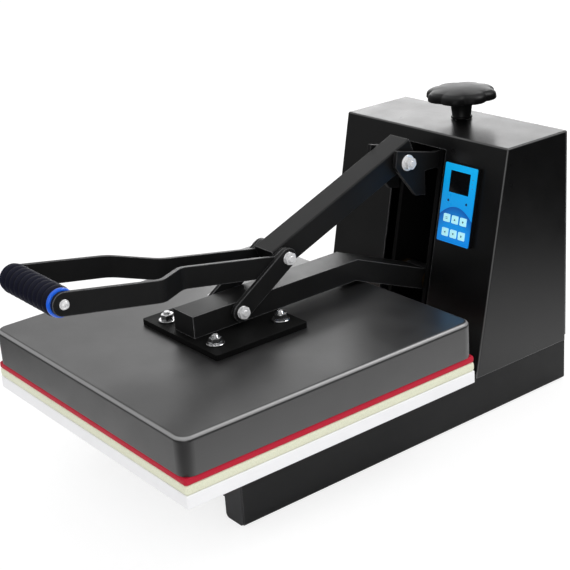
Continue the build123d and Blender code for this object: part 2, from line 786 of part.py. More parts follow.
def controller_key(number):
    column, up = key_places()[number - 1]
    top = bezel_depth + label_thickness + key_proud
    cap = panel_cut(column, up, *key_size, bezel_back + key_travel_space, top)
    cap = fillet(cap.edges().filter_by(Axis.Z), 1.2)
    cap = fillet(cap.edges().group_by(Axis.Z)[-1], 0.4)
    return on_panel(cap)


def controller_case():
    # The box behind the bezel, open towards it.
    case = Pos(0, 0, -case_depth / 2) * Box(*case_size, case_depth)
    width, height = [side - 2 * case_wall for side in case_size]
    case -= Pos(0, 0, -case_depth / 2 + case_wall) * Box(width, height, case_depth)
    return on_panel(case)


def controller_board():
    # A circuit board with a push switch behind each key, the display and a transformer.
    width, height = [side - 6 for side in case_size]
    board = Pos(0, 0, -6) * Box(width, height, 1.6)
    for column, up in key_places():
        board += Pos(column, up - panel_up, -3.6) * Box(6, 6, 3.4)
    board += Pos(0, lcd_up - panel_up, -2.8) * Box(*lcd_size, 5)
    board += Pos(0, -10, -16) * Box(26, 30, 19)
    return on_panel(board)


def inlet_body():
    x, z = inlet_middle
    return block((x - 14, x + 14), (housing_rear_y - 26, housing_rear_y + 1), (z - 10.5, z + 10.5))


def power_inlet():
    x, z = inlet_middle
    flange = block((x - 25, x + 25), (housing_rear_y, housing_rear_y + 2.5), (z - 12, z + 12))
    flange = fillet(flange.edges().filter_by(Axis.Y), 5)
    cavity_y = (housing_rear_y - inlet_depth, housing_rear_y + 4)
    cavity = block((x - 12.2, x + 12.2), cavity_y, (z - 8.4, z + 8.4))
    return inlet_body() + flange - cavity


def inlet_pins():
    x, z = inlet_middle
    back = housing_rear_y - inlet_depth
    pins = []
    for offset, height, length in ((-7, -2, 13), (0, 2, 14), (7, -2, 13)):
        pins.append(Pos(x + offset, back + length / 2, z + height) * Box(2, length, 4))
    return group(*pins)


def switch_body():
    x, z = switch_middle
    flange = block((x - 12, x + 12), (housing_rear_y, housing_rear_y + 1.5), (z - 16.5, z + 16.5))
    flange = fillet(flange.edges().filter_by(Axis.Y), 2)
    body = block((x - 10, x + 10), (housing_rear_y - 22, housing_rear_y), (z - 14, z + 14))
    pocket = block((x - 8.4, x + 8.4), (rocker_pivot_y - 5.5, housing_rear_y + 3), (z - 12.2, z + 12.2))
    return body + flange - pocket


def switch_rocker():
    x, z = switch_middle
    outline = [(-3, -11.2), (5, -11.2), (3.4, 0), (5, 11.2), (-3, 11.2)]
    rocker = side_shape(outline, -8, 8)
    return Pos(x, rocker_pivot_y, z) * Rot(rocker_rest_tilt, 0, 0) * rocker


def control_relay():
    # The relay that switches the heater, on the housing floor, with a terminal at each end.
    x, y = relay_middle
    z = rail_height + floor_thickness
    relay = Pos(x, y, z + 1) * Box(56, 70, 2)
    relay += Pos(x, y, z + 17) * Box(46, 62, 30)
    for end in (-21, 21):
        relay += Pos(x, y + end, z + 35) * Box(16, 10, 6)
    return relay


def lift_springs():
    # Two extension springs from the arm's tail pin down to eyes on the housing floor.
    pieces = []
    floor_top = rail_height + floor_thickness
    y, top = spring_pin
    eye_y = (y - 6.5, y + 6.5)
    for x in (-spring_x, spring_x):
        eye_x = (x - 1, x + 1)
        coil = rod_z(spring_radius, floor_top + 14, top - 12, x, y)
        coil -= rod_z(spring_radius - spring_wire, floor_top + 13, top - 11, x, y)
        eye_bottom = block(eye_x, eye_y, (floor_top, floor_top + 14.5))
        eye_top = block(eye_x, eye_y, (top - 12.5, top + 6.5))
        eye_top -= rod_x(spring_pin_radius + 0.2, x - 2, x + 2, y, top)
        pieces.append(coil + eye_bottom + eye_top)
    return group(*pieces)


nodes = {
    "base_rail_left": base_rail(-1),
    "base_rail_right": base_rail(1),
    "rail_end_caps": rail_end_caps(),
    "base_cross_members": base_cross_members(),
    "rubber_feet": rubber_feet(),
    "platen_posts": platen_posts(),
    "lower_platen": square_layer(platen_bottom_z, platen_thickness, 0.8),
    "cream_pad": square_layer(cream_bottom_z, cream_thickness, 0.5),
    "red_silicone_pad": square_layer(red_bottom_z, red_thickness, 0.5),
    "housing_shell": housing_shell(),
    "housing_back_cover": housing_back_cover(),
    "housing_screws": housing_screws(),
    "housing_floor": housing_floor(),
    "pivot_side_plates": pivot_side_plates(),
    "lower_pivot_shaft": lower_pivot_shaft(),
    "screw_support": screw_support(),
    "controller_bezel": controller_bezel(),
    "controller_label": controller_label(),
    "lcd_window": lcd_window(),
    "indicator_lights": indicator_lights(),
    "controller_case": controller_case(),
    "controller_board": controller_board(),
    "power_inlet": power_inlet(),
    "inlet_pins": inlet_pins(),
    "switch_body": switch_body(),
    "control_relay": control_relay(),
    "lift_springs": lift_springs(),
    "lower_arm": lower_arm(),
    "pivot_bushes": pivot_bushes(),
    "mounting_plate": mounting_plate(),
    "plate_bolts": plate_bolts(),
    "heater_cover": heater_cover(),
    "heating_plate": heating_plate(),
    "heating_element": heating_element(),
    "insulation_blanket": insulation_blanket(),
    "thermocouple": thermocouple(),
    "link_spacers": link_spacers(),
    "link_front_bolt": link_front_bolt(),
    "link_left": link(-1),
    "link_right": link(1),
    "link_rear_bolts": link_rear_bolts(),
    "upper_arm": upper_arm(),
    "upper_arm_pin": upper_arm_pin(),
    "handle_bar_left": handle_bar(-1),
    "handle_bar_right": handle_bar(1),
    "grip_rod": grip_rod(),
    "ribbed_grip": ribbed_grip(),
    "grip_rings": grip_rings(),
    "grip_bolts": grip_bolts(),
    "pressure_bracket": pressure_bracket(),
    "upper_pivot_bolt": upper_pivot_bolt(),
    "pressure_screw": pressure_screw(),
    "pressure_knob": pressure_knob(),
    "switch_rocker": switch_rocker(),
}
for key_number in range(1, 7):
    nodes[f"key_{key_number}"] = controller_key(key_number)

whole = Compound(list(nodes.values())).bounding_box()
to_part_frame = Pos(0, -round((whole.min.Y + whole.max.Y) / 2, 1), -whole.min.Z)

os.makedirs("parts", exist_ok=True)
for name, shape in nodes.items():
    export_step(to_part_frame * shape, f"parts/{name}.step")

print("nodes", len(nodes))
print("whole press", whole)
print("drawing frame moved by", to_part_frame.position)
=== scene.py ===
import bpy
import bmesh
import json
from math import cos, copysign, exp, log1p, pi, radians, sin, sqrt, tan
from mathutils import Matrix, Vector, noise


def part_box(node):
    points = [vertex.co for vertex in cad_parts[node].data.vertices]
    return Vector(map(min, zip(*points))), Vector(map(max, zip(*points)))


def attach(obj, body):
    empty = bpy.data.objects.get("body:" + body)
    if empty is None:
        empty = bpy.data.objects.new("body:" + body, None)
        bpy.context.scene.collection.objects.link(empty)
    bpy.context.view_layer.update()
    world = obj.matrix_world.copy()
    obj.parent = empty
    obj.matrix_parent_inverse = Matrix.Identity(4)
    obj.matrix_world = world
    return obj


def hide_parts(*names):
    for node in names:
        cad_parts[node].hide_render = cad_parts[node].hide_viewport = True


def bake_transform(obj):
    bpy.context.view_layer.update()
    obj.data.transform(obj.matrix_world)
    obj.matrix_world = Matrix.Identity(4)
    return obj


# A manual clamshell heat press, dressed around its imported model. Metres throughout, front towards -Y.
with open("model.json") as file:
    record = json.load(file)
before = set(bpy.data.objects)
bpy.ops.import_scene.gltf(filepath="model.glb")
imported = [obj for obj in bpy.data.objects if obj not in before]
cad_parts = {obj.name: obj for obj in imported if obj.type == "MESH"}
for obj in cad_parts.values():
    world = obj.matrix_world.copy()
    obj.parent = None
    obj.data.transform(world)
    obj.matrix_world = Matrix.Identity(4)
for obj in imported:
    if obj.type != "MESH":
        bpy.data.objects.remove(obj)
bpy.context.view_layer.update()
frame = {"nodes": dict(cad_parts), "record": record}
cadNodes = frame["nodes"]
mm = 0.001
print("frame loaded:", len(cadNodes), "nodes")


# Shader helpers

def put(tree, kind, inputs=None, **settings):
    # adds a node; an input may be a number, a colour or another node's socket
    node = tree.nodes.new("ShaderNode" + kind)
    for name, value in settings.items():
        setattr(node, name, value)
    for name, value in (inputs or {}).items():
        socket = node.inputs[name]
        if isinstance(value, bpy.types.NodeSocket):
            tree.links.new(value, socket)
        else:
            socket.default_value = value
    return node


def sums(tree, operation, first, second=0.0):
    return put(tree, "Math", {0: first, 1: second}, operation=operation).outputs[0]


def times(tree, first, second):
    return sums(tree, "MULTIPLY", first, second)


def plus(tree, first, second):
    return sums(tree, "ADD", first, second)


def less(tree, first, second):
    return sums(tree, "SUBTRACT", first, second)


def span(tree, value, fromLow, fromHigh, toLow=0.0, toHigh=1.0):
    limits = {"Value": value, "From Min": fromLow, "From Max": fromHigh, "To Min": toLow, "To Max": toHigh}
    return put(tree, "MapRange", limits).outputs[0]


def speckle(tree, place, scale, detail=4.0, rough=0.55):
    settings = {"Vector": place, "Scale": scale, "Detail": detail, "Roughness": rough}
    return put(tree, "TexNoise", settings).outputs[0]


def feed(tree, sockets, values):
    for name, value in values.items():
        tree.links.new(value, sockets[name])


def placeOn(tree, kind="Object"):
    return put(tree, "TexCoord").outputs[kind]


def axesOf(tree, vector):
    return put(tree, "SeparateXYZ", {0: vector}).outputs


def blendColour(tree, factor, first, second):
    node = put(tree, "Mix", data_type="RGBA")
    for index, value in ((0, factor), (6, first), (7, second)):
        if isinstance(value, bpy.types.NodeSocket):
            tree.links.new(value, node.inputs[index])
        else:
            node.inputs[index].default_value = value if index == 0 else (*value[:3], 1)
    return node.outputs[2]


def startGroup(name, inputs, outputs):
    tree = bpy.data.node_groups.new(name, "ShaderNodeTree")
    for label, value in inputs.items():
        made = tree.interface.new_socket(label, in_out="INPUT", socket_type="NodeSocketFloat")
        made.default_value = value
    for label in outputs:
        tree.interface.new_socket(label, in_out="OUTPUT", socket_type="NodeSocketFloat")
    return tree, tree.nodes.new("NodeGroupInput").outputs, tree.nodes.new("NodeGroupOutput").inputs


def makeGrain():
    # fine orange peel with a slow mottle under it, for paint, plastic and rubber
    tree, given, out = startGroup("surfaceGrain", {"Scale": 900.0, "Mottle": 30.0}, ["Height", "Tone"])
    place = placeOn(tree)
    fine = speckle(tree, place, given["Scale"], 3.0)
    slow = speckle(tree, place, given["Mottle"], 5.0, 0.6)
    feed(tree, out, {"Height": fine, "Tone": span(tree, slow, 0.3, 0.7)})
    return tree


def makeEdgeWearAndHighlight():
    # where a bevelled normal leaves the face's own: Mask is wear broken up by noise, and the other output
    # is a painted highlight that runs on along the edge
    inputs = {"Width": 0.0012, "Breakup": 60.0, "Amount": 0.3}
    tree, given, out = startGroup("edgeWearAndHighlight", inputs, ["Mask", "Line"])
    bevel = put(tree, "Bevel", {"Radius": given["Width"]}, samples=4).outputs[0]
    flat = put(tree, "NewGeometry").outputs["Normal"]
    likeness = put(tree, "VectorMath", {0: bevel, 1: flat}, operation="DOT_PRODUCT").outputs["Value"]
    edge = span(tree, likeness, 0.995, 0.90)
    patches = speckle(tree, placeOn(tree), given["Breakup"], 8.0, 0.7)
    reach = less(tree, 0.85, times(tree, given["Amount"], 0.45))
    spots = times(tree, less(tree, patches, reach), 14.0)
    broken = put(tree, "Clamp", {"Value": spots}).outputs[0]
    # painted highlight: a lighter line along the whole edge, varied a little by the noise
    line = times(tree, edge, span(tree, patches, 0.3, 0.6, 0.55, 1.0))
    feed(tree, out, {"Mask": times(tree, edge, broken), "Line": line})
    return tree


def makeDust():
    # a faint film on what faces up, thicker in patches
    tree, given, out = startGroup("settledDust", {"Amount": 0.1, "Scale": 14.0}, ["Mask"])
    up = axesOf(tree, put(tree, "NewGeometry").outputs["Normal"])[2]
    facing = span(tree, up, 0.55, 1.0)
    patches = speckle(tree, placeOn(tree), given["Scale"], 6.0, 0.65)
    film = times(tree, facing, span(tree, patches, 0.35, 0.75, 0.2, 1.0))
    feed(tree, out, {"Mask": times(tree, film, given["Amount"])})
    return tree


def makePores():
    # open cells of a sponge or foam; Shade darkens their pits as painted shade
    tree, given, out = startGroup("spongeCells", {"Scale": 700.0, "Depth": 1.0}, ["Height", "Shade"])
    place = placeOn(tree)
    settings = {"Vector": place, "Scale": given["Scale"]}
    cells = put(tree, "TexVoronoi", settings, feature="SMOOTH_F1").outputs[0]
    pits = span(tree, cells, 0.15, 0.6)
    uneven = speckle(tree, place, 90.0)
    height = plus(tree, times(tree, pits, given["Depth"]), times(tree, uneven, 0.4))
    feed(tree, out, {"Height": height, "Shade": span(tree, cells, 0.1, 0.5)})
    return tree


def makeTurning():
    # fine lathe lines about the X axis, broken by scratches
    tree, given, out = startGroup("turnedLines", {"Pitch": 5200.0, "Scratch": 300.0}, ["Height", "Tone"])
    place = placeOn(tree)
    lines = sums(tree, "SINE", times(tree, axesOf(tree, place)[0], given["Pitch"]))
    marks = speckle(tree, place, given["Scratch"], 6.0, 0.7)
    feed(tree, out, {"Height": plus(tree, times(tree, lines, 0.3), marks), "Tone": marks})
    return tree


groups = {
    "grain": makeGrain(), "wear": makeEdgeWearAndHighlight(), "dust": makeDust(), "pores": makePores(),
    "turning": makeTurning(),
}
print("shared shader groups built:", len(groups))


def useGroup(tree, name, **values):
    node = tree.nodes.new("ShaderNodeGroup")
    node.node_tree = groups[name]
    for label, value in values.items():
        node.inputs[label].default_value = value
    return node.outputs


def newMaterial(name, settings):
    # settings are the shader's own sockets by name
    material = bpy.data.materials.new(name)
    material.use_nodes = True
    tree = material.node_tree
    shader = tree.nodes["Principled BSDF"]
    for label, value in settings.items():
        shader.inputs[label].default_value = (*value, 1) if isinstance(value, tuple) else value
    return material, tree, shader


def bumpFrom(tree, shader, height, strength, distance):
    bump = put(tree, "Bump", {"Height": height, "Strength": strength, "Distance": distance})
    feed(tree, shader.inputs, {"Normal": bump.outputs[0]})


def foldHighlightLine(tree, corners):
    # a painted highlight where a rolled edge turns from the top to a side and, if asked, from side to side
    x, y, z = axesOf(tree, placeOn(tree, "Normal"))
    level = sums(tree, "SQRT", less(tree, 1.0, times(tree, z, z)))
    roll = times(tree, z, level)
    if corners:
        roll = sums(tree, "MAXIMUM", roll, sums(tree, "ABSOLUTE", times(tree, x, y)))
    return span(tree, roll, 0.30, 0.45)


dustColour = (0.42, 0.41, 0.39)
# painted highlight along bevelled edges
paintedEdgeHighlight = (0.36, 0.36, 0.37)
bareEdge = (0.42, 0.42, 0.43)
# painted highlight along rolled edges
paintedFoldHighlight = (0.55, 0.55, 0.55)
relief = dict(paint=0.0004, metal=0.0003, plastic=0.0002, sponge=0.0004, fibre=0.001)


def twoTones(tree, tone, colour, spread):
    # the colour wandering between a little darker and a little paler
    deep = [channel * (1 - spread) for channel in colour]
    return blendColour(tree, tone, deep, [channel * (1 + spread) for channel in colour])


def paintLook(name, colour, rough, grain=900.0, bump=0.08, wear=0.3, line=0.0, dust=0.05, spread=0.12,
              foldHighlightStrength=0.0, corners=False, **settings):
    # sprayed paint over steel: mottled gloss, orange peel, wear along edges, a little dust, with painted
    # highlights along bevelled and rolled edges
    material, tree, shader = newMaterial(name, settings)
    peel = useGroup(tree, "grain", Scale=grain, Mottle=26.0)
    edges = useGroup(tree, "wear", Amount=wear)
    worn = edges["Mask"]
    film = useGroup(tree, "dust", Amount=dust)["Mask"]
    dusty = blendColour(tree, film, twoTones(tree, peel["Tone"], colour, spread), dustColour)
    # painted highlight: edges are lightened along a line
    withHighlights = blendColour(tree, times(tree, edges["Line"], line), dusty, paintedEdgeHighlight)
    # painted highlight along rolled edges, where asked
    if foldHighlightStrength:
        foldHighlight = times(tree, foldHighlightLine(tree, corners), foldHighlightStrength)
        withHighlights = blendColour(tree, foldHighlight, withHighlights, paintedFoldHighlight)
    base = blendColour(tree, worn, withHighlights, bareEdge)
    satin = span(tree, peel["Tone"], 0.0, 1.0, rough * 0.9, rough * 1.12)
    gloss = plus(tree, satin, times(tree, film, 0.6))
    feed(tree, shader.inputs, {"Base Color": base, "Metallic": times(tree, worn, 0.7), "Roughness": gloss})
    bumpFrom(tree, shader, peel["Height"], bump, relief["paint"])
    return material


def metalLook(name, colour, rough, group="grain", bump=0.15, stain=0.35, **settings):
    # bare or plated metal, duller and darker in patches; the group gives its grain
    material, tree, shader = newMaterial(name, {"Metallic": 1.0, **settings})
    marks = useGroup(tree, group)
    dull = [channel * (1 - stain) for channel in colour]
    base = blendColour(tree, marks["Tone"], colour, dull)
    gloss = span(tree, marks["Tone"], 0.0, 1.0, rough * 0.75, rough * 1.4)
    feed(tree, shader.inputs, {"Base Color": base, "Roughness": gloss})
    bumpFrom(tree, shader, marks["Height"], bump, relief["metal"])
    return material


def plasticLook(name, colour, rough, grain=1500.0, bump=0.05, dust=0.04, spread=0.1, **settings):
    # mouldings, rubber, lacquer and print: a fine skin with a little dust
    material, tree, shader = newMaterial(name, settings)
    skin = useGroup(tree, "grain", Scale=grain, Mottle=18.0)
    film = useGroup(tree, "dust", Amount=dust)["Mask"]
    base = blendColour(tree, film, twoTones(tree, skin["Tone"], colour, spread), dustColour)
    gloss = span(tree, skin["Tone"], 0.0, 1.0, rough * 0.85, rough * 1.15)
    feed(tree, shader.inputs, {"Base Color": base, "Roughness": gloss})
    bumpFrom(tree, shader, skin["Height"], bump, relief["plastic"])
    return material


def foamLook(name, colour, pitShade, rough, scale, bump, depth=relief["sponge"], **settings):
    # open or fine cells with painted shade in their pits, under a slow change of tone
    material, tree, shader = newMaterial(name, {"Roughness": rough, **settings})
    cells = useGroup(tree, "pores", Scale=scale)
    tone = useGroup(tree, "grain", Scale=400.0, Mottle=22.0)["Tone"]
    base = blendColour(tree, cells["Shade"], pitShade, colour)
    paler = [min(1.0, channel * 1.05) for channel in colour]
    base = blendColour(tree, times(tree, tone, 0.4), base, paler)
    feed(tree, shader.inputs, {"Base Color": base})
    bumpFrom(tree, shader, cells["Height"], bump, depth)
    return material


# Finishes, by the record's slot names

blackPaint = (0.0045, 0.0045, 0.0048)
# light wear and dust, with a painted highlight line along the edges
lightUse = dict(wear=0.2, line=0.5, dust=0.006)
specular = "Specular IOR Level"
# in these finishes line sets a painted highlight along bevelled edges, and fold one along rolled edges
looks = {
    "black_paint": paintLook("satinBlackPaint", blackPaint, 0.34, **lightUse),
    "shellPaint": paintLook("shellBlackPaint", blackPaint, 0.30, foldHighlightStrength=0.14, corners=True, **lightUse),
    "armPaint": paintLook("armBlackPaint", (0.0105, 0.0105, 0.0108), 0.38, wear=0.2, line=0.6, dust=0.006,
                          **{specular: 0.25}),
    "railPaint": paintLook("railBlackPaint", (0.0085, 0.0085, 0.009), 0.50, wear=0.2, line=0.25, dust=0.006,
                           **{specular: 0.28}),
    "innerPaint": paintLook("innerBlackPaint", (0.003, 0.003, 0.003), 0.60, wear=0.0, dust=0.0,
                            **{specular: 0.2}),
    "dark_grey_paint": paintLook("darkGreyEnamel", (0.015, 0.0147, 0.0153), 0.35, grain=1100.0, bump=0.05,
                                 wear=0.04, line=0.1, dust=0.01, spread=0.05, foldHighlightStrength=0.5,
                                 **{specular: 1.0, "IOR": 1.7}),
    "white_platen": paintLook("whiteEnamel", (0.90, 0.90, 0.915), 0.32, bump=0.04, wear=0.04, dust=0.02,
                              spread=0.02),
    "cream_silicone": foamLook("creamSponge", (0.78, 0.79, 0.62), (0.66, 0.67, 0.50), 0.75, 800.0, 0.35),
    "red_silicone": foamLook("redSilicone", (0.50, 0.009, 0.033), (0.42, 0.007, 0.026), 0.48, 1400.0, 0.10,
                             **{specular: 0.2}),
    "zinc": metalLook("brightZinc", (0.96, 0.96, 0.97), 0.16, "turning", 0.05, 0.10),
    "paleZinc": metalLook("paleZinc", (0.97, 0.97, 0.98), 0.22, "turning", 0.05, 0.08, Metallic=0.3),
    "bare_steel": metalLook("groundSteel", (0.50, 0.50, 0.51), 0.30, "turning", 0.10),
    "bronze": metalLook("sinteredBronze", (0.20, 0.13, 0.06), 0.5),
    "cast_aluminium": metalLook("castAluminium", (0.72, 0.72, 0.74), 0.42, bump=0.4),
    "heater_steel": metalLook("heaterSheath", (0.30, 0.27, 0.25), 0.42),
    "insulation": foamLook("ceramicFibre", (0.86, 0.85, 0.80), (0.70, 0.69, 0.64), 0.95, 260.0, 0.6,
                           relief["fibre"]),
    "black_plastic": plasticLook("blackMoulding", (0.004, 0.004, 0.0055), 0.36, bump=0.06, dust=0.01),
    "foam_rubber": foamLook("blackFoam", (0.004, 0.005, 0.022), (0.002, 0.002, 0.008), 0.55, 1500.0, 0.16,
                            **{specular: 0.28}),
    "foot_rubber": plasticLook("footRubber", (0.018, 0.018, 0.018), 0.7, 600.0, 0.2),
    "blue_plastic": plasticLook("blueMoulding", (0.010, 0.12, 0.74), 0.18, bump=0.02, dust=0.0,
                                **{"Coat Weight": 0.6, "Coat Roughness": 0.08}),
    "navy": plasticLook("navyMoulding", (0.004, 0.007, 0.035), 0.3, bump=0.02, dust=0.0),
    # painted light: the keys glow a little in their own colour
    "key_plastic": plasticLook("keyCaps", (0.46, 0.90, 0.98), 0.30, bump=0.02, dust=0.0, spread=0.04,
                               **{"Emission Color": (0.42, 0.86, 0.98), "Emission Strength": 0.35}),
    "lcd": plasticLook("displayGlass", (0.0035, 0.004, 0.005), 0.10, 2000.0, 0.0, 0.0),
    "lamp_lens": plasticLook("smokedLens", (0.012, 0.035, 0.12), 0.12, bump=0.0, dust=0.0),
    "board": plasticLook("boardLacquer", (0.012, 0.13, 0.05), 0.3, 300.0, 0.1),
    "relay_plastic": plasticLook("relayCase", (0.05, 0.05, 0.055), 0.45),
}


overlay = dict(
    top=(0.003, 0.47, 0.96), bottom=(0.003, 0.29, 0.94), arch=(0.005, 0.09, 0.46), archRise=0.012,
    archDrop=0.002, archEdge=0.0003, archFade=0.020, archStrength=0.9,
)


def makeLabelLook():
    # the controller's overlay: pale blue at the top, deeper below, with a darker arch over the keys; the
    # print also glows a little, as painted light
    low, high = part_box("controller_label")
    # painted light: a faint glow in the print's own colour
    settings = {specular: 0.25, "Emission Strength": 0.16}
    material, tree, shader = newMaterial("blueOverlay", settings)
    skin = useGroup(tree, "grain", Scale=2200.0, Mottle=40.0)
    axes = axesOf(tree, placeOn(tree))
    x, z = axes[0], axes[2]
    fall = span(tree, z, low.z, high.z)
    ground = blendColour(tree, fall, overlay["bottom"], overlay["top"])
    # the arch: a shallow curve's top edge across the label, fading out downwards
    middle, width = (low.x + high.x) / 2, high.x - low.x
    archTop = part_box("key_1")[1].z - overlay["archDrop"]
    across = sums(tree, "DIVIDE", less(tree, x, middle), width / 2)
    crown = less(tree, 1.0, times(tree, across, across))
    edge = plus(tree, archTop, times(tree, crown, overlay["archRise"]))
    depth = less(tree, edge, z)
    below = span(tree, depth, -overlay["archEdge"], overlay["archEdge"])
    fade = span(tree, depth, 0.0, overlay["archFade"], overlay["archStrength"], 0.0)
    inkAndGlow = blendColour(tree, times(tree, below, fade), ground, overlay["arch"])
    gloss = span(tree, skin["Tone"], 0.0, 1.0, 0.26, 0.36)
    feed(tree, shader.inputs, {"Base Color": inkAndGlow, "Emission Color": inkAndGlow, "Roughness": gloss})
    bumpFrom(tree, shader, skin["Height"], 0.02, relief["plastic"])
    return material


looks["blue_label"] = makeLabelLook()
looks["mark"] = plasticLook("greyPrint", (0.10, 0.20, 0.24), 0.5, bump=0.0, dust=0.0)
looks["whiteMark"] = plasticLook("whitePrint", (0.75, 0.75, 0.75), 0.5, bump=0.0, dust=0.0)
print("finishes built:", len(looks))


# Painted nodes whose paint differs from their slot's own look
ownLooks = {
    "shellPaint": ["housing_shell"],
    "railPaint": ["base_rail_left", "base_rail_right", "base_cross_members", "platen_posts",
                  "pressure_bracket"],
    "armPaint": ["lower_arm", "upper_arm", "handle_bar_left", "handle_bar_right", "link_left",
                 "link_right"],
    "innerPaint": ["pivot_side_plates", "screw_support", "housing_floor", "mounting_plate"],
}


def finishCadNodes():
    slots = {part["node"]: part["material_slot"] for part in frame["record"]["subparts"]}
    own = {name: look for look, names in ownLooks.items() for name in names}
    for name, obj in cadNodes.items():
        obj.data.materials.clear()
        obj.data.materials.append(looks[own.get(name, slots[name])])


finishCadNodes()


# Edges of folded, sawn and moulded parts are rounded by modifiers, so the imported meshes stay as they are.
# The nodes are listed by width in millimetres.
edgeRounds = {
    0.3: ["inlet_pins", "link_spacers"],
    0.35: ["housing_shell"],
    0.4: ["housing_back_cover", "housing_floor", "power_inlet", "switch_body", "upper_arm_pin"],
    0.5: ["base_rail_left", "base_rail_right", "platen_posts", "pivot_side_plates", "screw_support",
          "controller_case", "switch_rocker", "control_relay"],
    0.6: ["base_cross_members", "rail_end_caps", "controller_bezel", "lower_pivot_shaft"],
    0.7: ["link_left", "link_right"],
    0.8: ["upper_arm", "handle_bar_left", "handle_bar_right", "pressure_bracket"],
    0.9: ["mounting_plate"],
    1.2: ["lower_platen"],
    1.3: ["lower_arm"],
}
rounding = dict(weld=0.00001, flat=1.5, corner=32, segments=3, weight=80)


def roundEdges(name, width):
    obj = cadNodes[name]
    bpy.context.view_layer.objects.active = obj
    bpy.ops.mesh.customdata_custom_splitnormals_clear()
    for polygon in obj.data.polygons:
        polygon.use_smooth = True
    weld = obj.modifiers.new("weld", "WELD")
    weld.merge_threshold = rounding["weld"]
    flat = obj.modifiers.new("flatten", "DECIMATE")
    flat.decimate_type = "DISSOLVE"
    flat.angle_limit = radians(rounding["flat"])
    bevel = obj.modifiers.new("round", "BEVEL")
    bevel.width = width * mm
    bevel.segments = rounding["segments"]
    bevel.limit_method = "ANGLE"
    bevel.angle_limit = radians(rounding["corner"])
    bevel.use_clamp_overlap = True
    normals = obj.modifiers.new("normals", "WEIGHTED_NORMAL")
    normals.weight = rounding["weight"]


for roundWidth, nodeNames in edgeRounds.items():
    for nodeName in nodeNames:
        roundEdges(nodeName, roundWidth)
print("edges rounded")


# Mesh helpers for new pieces

def addObject(name, data):
    made = bpy.data.objects.new(name, data)
    bpy.context.scene.collection.objects.link(made)
    return made


def lengths(sizes, *parts):
    # sizes in millimetres, given back in metres
    return [sizes[part] * mm for part in parts]


def middleOf(node):
    low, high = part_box(node)
    return (low + high) / 2


def finishPiece(name, bm, body, slot, *replaced, look=None, sharpAngle=35):
    # turns a built mesh into a piece; edges sharper than sharpAngle stay crisp
    mesh = bpy.data.meshes.new(name)
    bmesh.ops.recalc_face_normals(bm, faces=bm.faces)
    for face in bm.faces:
        face.smooth = True
    for edge in bm.edges:
        edge.smooth = edge.calc_face_angle(0.0) < radians(sharpAngle)
    bm.to_mesh(mesh)
    bm.free()
    piece = addObject(name, mesh)
    mesh.materials.append(looks[look or slot])
    if body:
        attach(piece, body)
    if replaced:
        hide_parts(*replaced)
    return piece


def bridge(bm, lower, upper):
    # a band of faces between two rings of one length
    count = len(lower)
    for i in range(count):
        j = (i + 1) % count
        bm.faces.new((lower[i], lower[j], upper[j], upper[i]))
    return upper


def ringMesh(bm, rings, loop=False):
    # skins a list of rings of points; the ends are closed, or the last ring meets the first
    made = [[bm.verts.new(point) for point in ring] for ring in rings]
    for lower, upper in zip(made, made[1:]):
        bridge(bm, lower, upper)
    if loop:
        bridge(bm, made[-1], made[0])
    else:
        bm.faces.new(list(reversed(made[0])))
        bm.faces.new(made[-1])


def lathe(bm, profile, place, steps=64, outline=None, loop=False):
    # profile is (radius, height) about the local Z axis, each a number or a function of the angle;
    # outline turns a radius, its angle and its height into the radius that is used
    rings = []
    for radius, height in profile:
        ring = []
        for step in range(steps):
            angle = 2 * pi * step / steps
            level = height(angle) if callable(height) else height
            reach = radius(angle) if callable(radius) else radius
            if outline:
                reach = outline(reach, angle, level)
            ring.append(place @ Vector((reach * cos(angle), reach * sin(angle), level)))
        rings.append(ring)
    ringMesh(bm, rings, loop)


def alongX(x, y, z, side=1):
    # local Z points out along +X, or -X on the left side
    return Matrix.Translation((x, y, z)) @ Matrix.Rotation(radians(90 * side), 4, "Y")


def arcPoints(centreRadius, centreHeight, radius, start, end, steps):
    angles = [radians(start + (end - start) * step / steps) for step in range(steps + 1)]
    return [(centreRadius + radius * cos(a), centreHeight + radius * sin(a)) for a in angles]


def hexRadius(flats, angle):
    sixth = pi / 3
    return flats / 2 / cos((angle + sixth / 2) % sixth - sixth / 2)


def addNut(bm, place, flats, height, hole, turn):
    # a hexagon whose corners are cut by a shallow cone on both faces, round a hole with a chamfered mouth
    crown, slope = flats / 2 * 0.94, tan(radians(28))

    def corner(angle):
        return hexRadius(flats, angle + turn)

    def cut(angle):
        return (corner(angle) - crown) * slope

    def cutTop(angle):
        return height - cut(angle)
    profile = [(hole, 0), (crown, 0), (corner, cut), (corner, cutTop), (crown, height),
               (hole * 1.12, height), (hole, height - hole * 0.12)]
    lathe(bm, profile, place, 72, loop=True)


def addWasher(bm, place, radius, hole, thickness):
    edge = thickness * 0.22
    profile = [(hole, 0), (radius - edge, 0), (radius, edge), (radius, thickness - edge),
               (radius - edge, thickness), (hole + edge, thickness), (hole, thickness - edge)]
    lathe(bm, profile, place, loop=True)


def addThread(bm, place, radius, start, end, pitch):
    # a threaded rod's end: the ridge winds once round for every pitch, and the tip is chamfered
    depth, perPitch = pitch * 0.5, 6
    count = max(2, round((end - start) / pitch * perPitch))

    def ridge(core, angle, height):
        phase = ((height - start) / pitch - angle / (2 * pi)) % 1.0
        tip = max(0.0, core * 0.22 - (end - height))
        return core - max(depth * abs(2 * phase - 1), tip)
    profile = [(radius, start + (end - start) * level / count) for level in range(count + 1)]
    lathe(bm, profile, place, 40, ridge)


